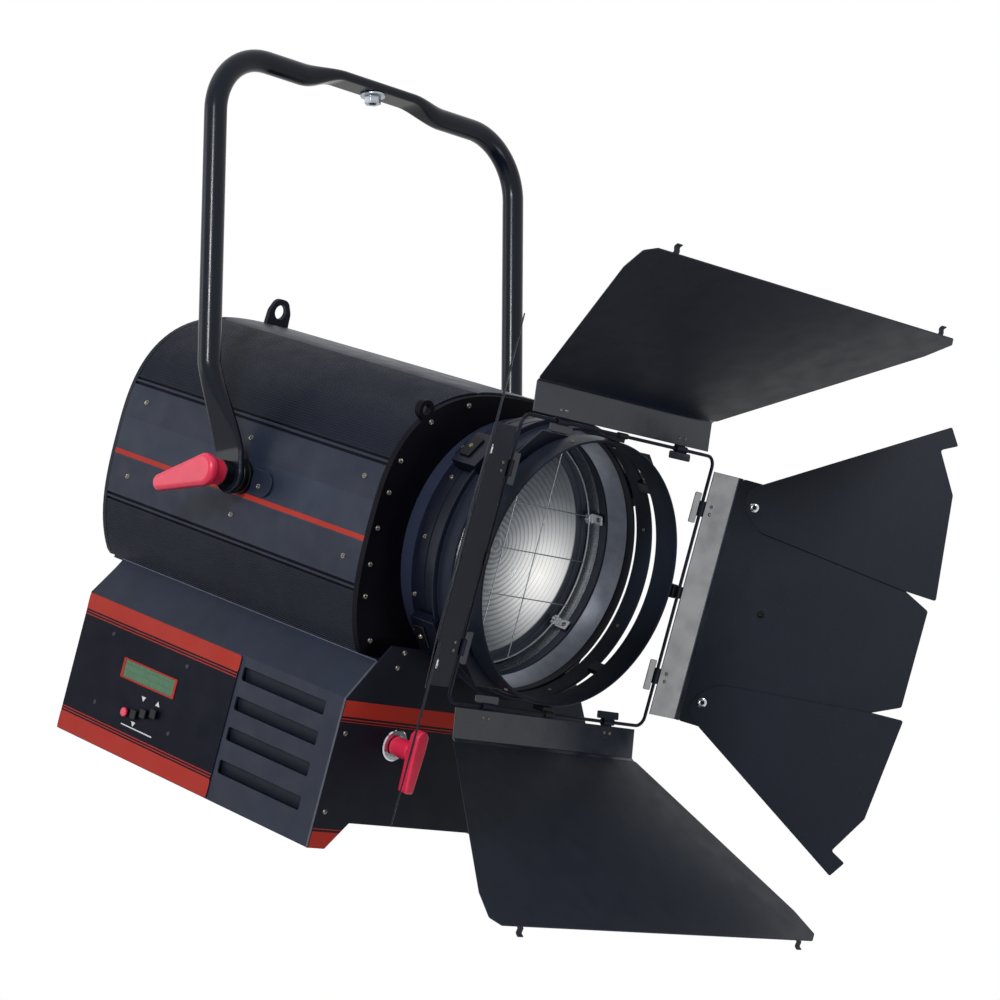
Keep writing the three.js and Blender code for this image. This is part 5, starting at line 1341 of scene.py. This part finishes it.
ring_profile = [(TUBE_BORE + 0.5, 26.3), (157.2, 26.3), (RING, 27.1), *groove(33), *groove(48), (RING, 62.2),
                (157.2, RING_FRONT), (155.3, RING_FRONT), (154.5, 62.2), (154.5, 52.5), (150, 41),
                (TUBE_BORE, 29.8), (TUBE_BORE, 26.8)]
piece("ring_band", turned(ring_profile, FINE), "ring_blue", "accessory_ring")
skirt_profile = [(154.4, 52.4), (149.9, 40.9), (TUBE_BORE - 0.1, 29.8), (TUBE_BORE + 0.3, 29.8), (150.3, 41),
                 (154.8, 52.4)]
piece("ring_skirt", turned(skirt_profile, FINE), "skirt_steel", slot="ring_blue")
print("ring faces", made["ring_band"])

# %% [markdown]
# Clips stand on the ring and catch the rim of the barn door. Each is a bent bracket with a dark block
# on its foot, and two screws. One formula places them around the beam, two near, one far.

# %% Clips
CLIP_ANGLES = (("near_upper", 51), ("near_lower", 129), ("far_lower", 210))
CLIP_HALF = 23
FOOT_TOP = 165.3
BLOCK_TOP = 173.6
CATCH = [(67.5, 165.8), (71.8, 165.8), (71.8, 158.9), (75.3, 158.9), (75.3, 170.8)]
bracket = prism(rounded([(37, 158.4), (67.5, 158.4), *CATCH, (37, 170.8)], 0.9, 3), -CLIP_HALF, CLIP_HALF, "Y")
bracket = joined(bracket, prism(rectangle(28, 38, -11.5, 11.5, 1.5), 158.4, FOOT_TOP, "Z"))
cap = prism(rectangle(41, 58, -14, 14, 2.5), 170.6, BLOCK_TOP, "Z")
hollow = disc(158.3, 20, 80, sides=FINE)
caps = []
heads = []
for name, degrees in CLIP_ANGLES:
    piece(f"clip_bracket_{name}", drilled(around_beam(bracket, degrees), [hollow]), "ring_blue", f"clip_{name}",
          bevel=0.6)
    caps.append(around_beam(cap, degrees))
    heads += [beam_screw(3, 1.6, degrees, x, height) for x, height in ((49.5, BLOCK_TOP), (32.5, FOOT_TOP))]
heads += [beam_screw(3, 1.7, degrees, x, RING) for x, degrees in
          ((40, 63.7), (32.6, 114.6), (40, 90), (44, 230), (44, 190), (44, -20), (44, 10))]
piece("clip_blocks", joined(*caps), "black_plastic", bevel=0.8)
screws("clip_screws", heads)

# %% [markdown]
# The fourth catch is a latch, far up, that lets the barn door out. Two ears on a small floor hold a
# pin, and the lever that swings on it has the same hook as the clips. It rides on its own body.

# %% Latch
LATCH_ANGLE = -51
PIN_X = 46
PIN_HEIGHT = 165.3


def across_latch(radius, half):
    return disc(radius, -half, half, PIN_X, 0, PIN_HEIGHT, "Y", 24)


ears = [block(PIN_X - 5, PIN_X + 5, side * 21 - 2, side * 21 + 2, 158.1, PIN_HEIGHT + 5) for side, _ in SIDES]
seat = joined(*ears, block(28, 62.7, -CLIP_HALF, CLIP_HALF, 156.5, 159.2))
piece("latch_seat", around_beam(seat, LATCH_ANGLE), "ring_blue", bevel=0.5)
pin = across_latch(2, CLIP_HALF + 0.6)
piece("latch_pin", around_beam(pin, LATCH_ANGLE), "zinc", bevel=0.3, segments=1)
arm = prism(rounded([(41, 163.3), (51, 163.3), *CATCH, (41, 170.8)], 0.9, 3), -18.4, 18.4, "Y")
ridges = [block(x, x + 1.6, -13, 13, 170.7, 171.4) for x in (56, 60, 64)]
arm = joined(drilled(arm, [across_latch(2.3, 30)]), *ridges)
piece("latch_arm", around_beam(arm, LATCH_ANGLE), "ring_blue", "accessory_latch", "latch", bevel=0.5)
print("latch pin at", PIN_X, PIN_HEIGHT)

# %% [markdown]
# The barn door turns as one in the clips. Its back is a band with a rim turned out, its front is an
# eight-sided plate with a short hood, and four posts join the two. Daylight shows through the slits
# between them, as in the photograph. The hood's front edge is rolled, which the profile shows as an
# arc.

# %% Barn door ring
HOOD = 153.2
HOOD_BORE = 149.8
HOOD_FRONT = 136
ROLL = 1.2
PLATE = (104.5, 107)
OCTAGON_HALF = 146
OCTAGON_CUT = 90
POSTS = (45, 135, 225, 315)
POST_TOP = 157.7
band_profile = [(154.5, 68.3), (164.6, 68.3), (165, 68.7), (165, 70.6), (164.6, 71), (158.8, 71), (158, 71.8),
                (158, 90.6), (157.4, 91.2), (155.1, 91.2), (154.5, 90.6)]
hood_profile = [(HOOD_BORE, PLATE[0]), (HOOD - 0.6, PLATE[0]), (HOOD, PLATE[0] + 0.6),
                *arc(HOOD - ROLL, HOOD_FRONT - ROLL, ROLL, 0, 180, 6), (HOOD_BORE, HOOD_FRONT - 3)]
octagon = mirrored([(OCTAGON_HALF, OCTAGON_CUT), (OCTAGON_CUT, OCTAGON_HALF)])
octagon += [(-y, -z) for y, z in octagon]
plate = drilled(prism(octagon, *PLATE, "X"), [disc(HOOD_BORE + 0.3, 100, 112, sides=FINE)])
post = block(87.7, PLATE[1], -7, 7, 150.1, POST_TOP)
piece("door_band", turned(band_profile, FINE), "door_grey", "barndoor_ring", "barn_door", "ring_blue")
piece("door_plate", plate, "ring_blue", body="barn_door", bevel=0.5)
piece("door_posts", joined(*[around_beam(post, degrees) for degrees in POSTS]), "ring_blue", body="barn_door",
      bevel=0.8)
piece("door_hood", turned(hood_profile, FINE), "door_grey", body="barn_door", slot="ring_blue")
heads = [beam_screw(1.8, 1, degrees, 95, POST_TOP, y) for degrees in POSTS for y in (-3.6, 3.6)]
for degrees in (22, 158, 202, 338, 68, 112, 248, 292):
    heads += [beam_screw(2.6, 1.5, degrees, 122, HOOD), beam_screw(2.2, 1.2, degrees, 80, 154.5, way=-1)]
screws("door_screws", heads, body="barn_door")
print("door band faces", made["door_band"])

# %% [markdown]
# The leaves hang on a square loop of wire with round corners. It is a tube that follows a path, held
# to the hood by a small clamp on each side: a lug, a saddle over the wire and a screw.

# %% Hinge frame
HINGE_X = 140.6
HINGE_R = 161
WIRE = 2
CORNER = 12
QUARTERS = (0, 90, 180, 270)
LUG_TOP = 160
corner = [(HINGE_X, y, z) for y, z in arc(HINGE_R - CORNER, HINGE_R - CORNER, CORNER, 0, 90, 8)]
loop, _ = joined(*[around_beam((corner, []), degrees) for degrees in QUARTERS])
piece("hinge_wire", tube(loop, WIRE, 14, closed=True), "powder_black", "hinge_frame", "barn_door")
clamp = joined(block(122, HINGE_X - 1.6, -8, 8, 153.4, LUG_TOP),
               prism(rectangle(HINGE_X - 3.6, HINGE_X + 3.4, 158, 164.4, 2.4), -7, 7, "Y"))
piece("wire_clamps", joined(*[around_beam(clamp, degrees) for degrees in QUARTERS]), "black_plastic",
      body="barn_door", bevel=0.6)
screws("clamp_screws", [beam_screw(2.4, 1.4, degrees, 129, LUG_TOP) for degrees in QUARTERS], body="barn_door")

# %% [markdown]
# A leaf is one sheet: a strip along the hinge, a bend, and the panel. Strip and bend are one profile
# pushed along the hinge, with the bend as an arc, and the panel is its own outline. Two knuckles are
# rolled around the wire, each with a tail and a tab. Every leaf is made in its own directions, from
# the hinge outward, so one function makes all four.

# %% Leaves
LEAF = 1.6
STRIP = 38.2
STRIP_START = 4.5
BEND_RADIUS = 3.0
PANEL_START = 5
KNUCKLES = (100, -100)
TAB = 1.5
TAB_TOP = 2.3
TAB_LINE = ((268, 0), (272.6, 0), (274.2, 0.6), (275, 2), (275.6, 4.2), (276.4, 5.4), (278, 6), (281, 6))
WIDE = (147.4, [(228, 258), (262, 266), (272.4, 254)])
NARROW = (145, [(32, 145), (222, 71.5), (252.6, 56.6)])
LEAVES = (("top", 0, 99.4, 63.2, WIDE, (-228, 228)), ("bottom", 180, 76.7, 47, WIDE, (-228, 228)),
          ("far", -90, 68.4, 43.6, NARROW, ()), ("near", 90, 89.2, 43.6, NARROW, ()))


def leaf_place(roll, strip_angle):
    """The directions of a leaf: across its strip, along its hinge, and away from the beam."""
    return (HEAD @ Matrix.Rotation(math.radians(roll), 4, "X")
            @ Matrix.Translation(Vector((HINGE_X, 0, HINGE_R)) * MM)
            @ Matrix.Rotation(math.radians(-strip_angle), 4, "Y"))


def panel_place(bend):
    return Matrix.Translation(Vector((STRIP, 0, 0))) @ Matrix.Rotation(math.radians(bend), 4, "Y")


def thick(line, wall):
    """The outline of a sheet around its middle line."""
    line = [Vector(point) for point in line]
    return [*inset(line, wall / 2, False), *inset(line, -wall / 2, False)[::-1]]


def leaf_panel(half, side, bend, tabs):
    first = side[0]
    side = [(PANEL_START, blend_of(half, first[1], PANEL_START / first[0])), *side]
    outline = [(x, -y) for x, y in side[::-1]] + side
    parts = [prism(rounded(outline, 3.5), -LEAF / 2, LEAF / 2, "Z")]
    parts += [prism(thick(TAB_LINE, TAB), middle - 4, middle + 4, "Y") for middle in tabs]
    return moved(joined(*parts), panel_place(bend))


def leaf_fold(half, bend, reach=5.4):
    """Strip and bend: along the strip, an arc, and on into the panel."""
    turn = math.radians(bend)
    back = BEND_RADIUS * math.tan(turn / 2)
    line = [(STRIP_START, 0), *arc(STRIP - back, -BEND_RADIUS, BEND_RADIUS, 90, 90 - bend, 8),
            (STRIP + reach * math.cos(turn), -reach * math.sin(turn))]
    return prism(thick(line, LEAF), -half, half, "Y")


def knuckle(spread):
    barrel = prism(thick(arc(0, 0, 3.5, 20, 340, 14), 1.4), spread - 9, spread + 9, "Y")
    return joined(barrel, prism(rectangle(2, 17, spread - 9, spread + 9, 2), 0.8, TAB_TOP, "Z"))


def tail(spread):
    return prism(rectangle(-12, -3.4, spread - 18, spread + 18, 2), -LEAF / 2, LEAF / 2, "Z")


places = {}
for name, roll, strip_angle, bend, (half, side), tabs in LEAVES:
    body = f"{name}_leaf"
    places[body] = leaf_place(roll, strip_angle)
    common = {"body": body, "slot": "leaf_black", "place": places[body]}
    piece(f"panel_of_{name}", leaf_panel(half, side, bend, tabs), "leaf_black", f"leaf_{name}", bevel=0.35, **common)
    # The far, top and bottom strips take strip_grey although strip and panel are one sheet, so their lighter colour
    # is painted sheen. The near strip, seen edge on, keeps the leaf's coat.
    piece(f"strip_of_{name}", leaf_fold(half, bend), "leaf_black" if name == "near" else "strip_grey", bevel=0.35,
          **common)
    piece(f"knuckles_of_{name}", joined(*map(knuckle, KNUCKLES)), "powder_black", bevel=0.3, segments=1, **common)
    piece(f"tails_of_{name}", joined(*map(tail, KNUCKLES)), "strip_grey", bevel=0.3, segments=1, **common)
    screws(f"hinge_screws_{name}", [
        screw_head(2.2, 1.2, (12.5, spread + off, z), (0, 0, way), off * turn)
        for z, way, turn in ((TAB_TOP, 1, 9), (-LEAF / 2, -1, 7))
        for spread in KNUCKLES[::-1] for off in (-4.5, 4.5)], **common)

# %% [markdown]
# Each side leaf carries two folding ears, which turn on rivets in their own layers, so that one can
# slide over the other. An ear is a thin plate with round corners, and the rivet has a bright head on
# a washer, with a black disc in its hollow middle as painted shade. A small black stop in the middle of the leaf
# stands where the leaf shows a dark hole: painted shade.

# %% Ears and rivets
EAR = 1.4
EAR_LAYER = (-1.3, -3.2)
EAR_SIDE = ((32.1, 146), (224.6, 264), (237, 245), (219.1, 235.8), (246, 190), (259, 70), (223, 71.5),
            (40.9, 91.1), (19.9, 109), (11.9, 130.9))
EAR_CORNERS = (22, 2, 2, 3, 2, 3, 4, 22, 22, 22)
RIVET = (28, 116.7)
EARS = (("far_lower", 1, 0), ("far_upper", -1, 1), ("near_upper", 1, 0), ("near_lower", -1, 1))
panel = panel_place(43.6)


def on_panel(profile, x, y, closed=True):
    """A turned shape stood on a side leaf's panel."""
    return moved(upright(turned(profile, 40, closed)), panel @ Matrix.Translation(Vector((x, y, 0))))


for name, side, layer in EARS:
    leaf = name.split("_")[0] + "_leaf"
    common = {"slot": "leaf_black", "place": places[leaf]}
    top = EAR_LAYER[layer]
    outline = rounded([(x, side * y) for x, y in EAR_SIDE], EAR_CORNERS, 6)
    piece(f"ear_{name}", moved(prism(outline, top - EAR, top, "Z"), panel), "leaf_black", f"ear_{name}",
          f"{name}_ear", bevel=0.3, segments=1, **common)
    low = top - EAR - 0.3
    washer = [(2.5, low - 0.2), (2.5, low - 1.4), (3.2, low - 2.0), (4.6, low - 2.0), (5.6, low - 1.4),
              (6, low - 0.5), (6, low), (2.5, low)]
    # A black disc fills the rivet's hollow middle: painted shade for the hole.
    hole_shade = [(0, low - 0.6), (2.6, low - 0.6), (2.6, low), (0, low)]
    spot = (RIVET[0], side * RIVET[1])
    piece(f"rivet_{name}", on_panel(washer, *spot), "chrome", body=leaf, **common)
    piece(f"rivet_hole_shade_{name}", on_panel(hole_shade, *spot, False), "black_plastic", body=leaf, **common)
for name in ("far", "near"):
    # The black stop stands where the leaf shows a dark hole: painted shade.
    stop = [(0, -1.6), (1.8, -1.8), (2.6, -2.6), (3.6, -2.2), (4.2, -0.9), (0, -0.9)]
    piece(f"stop_{name}", on_panel(stop, 67, 0, False), "black_plastic", body=f"{name}_leaf", slot="leaf_black",
          place=places[f"{name}_leaf"])
print("ears", [ear[0] for ear in EARS])

# %% [markdown]
# The number of pieces made is printed.

# %% Count of pieces
print("pieces", len(made))
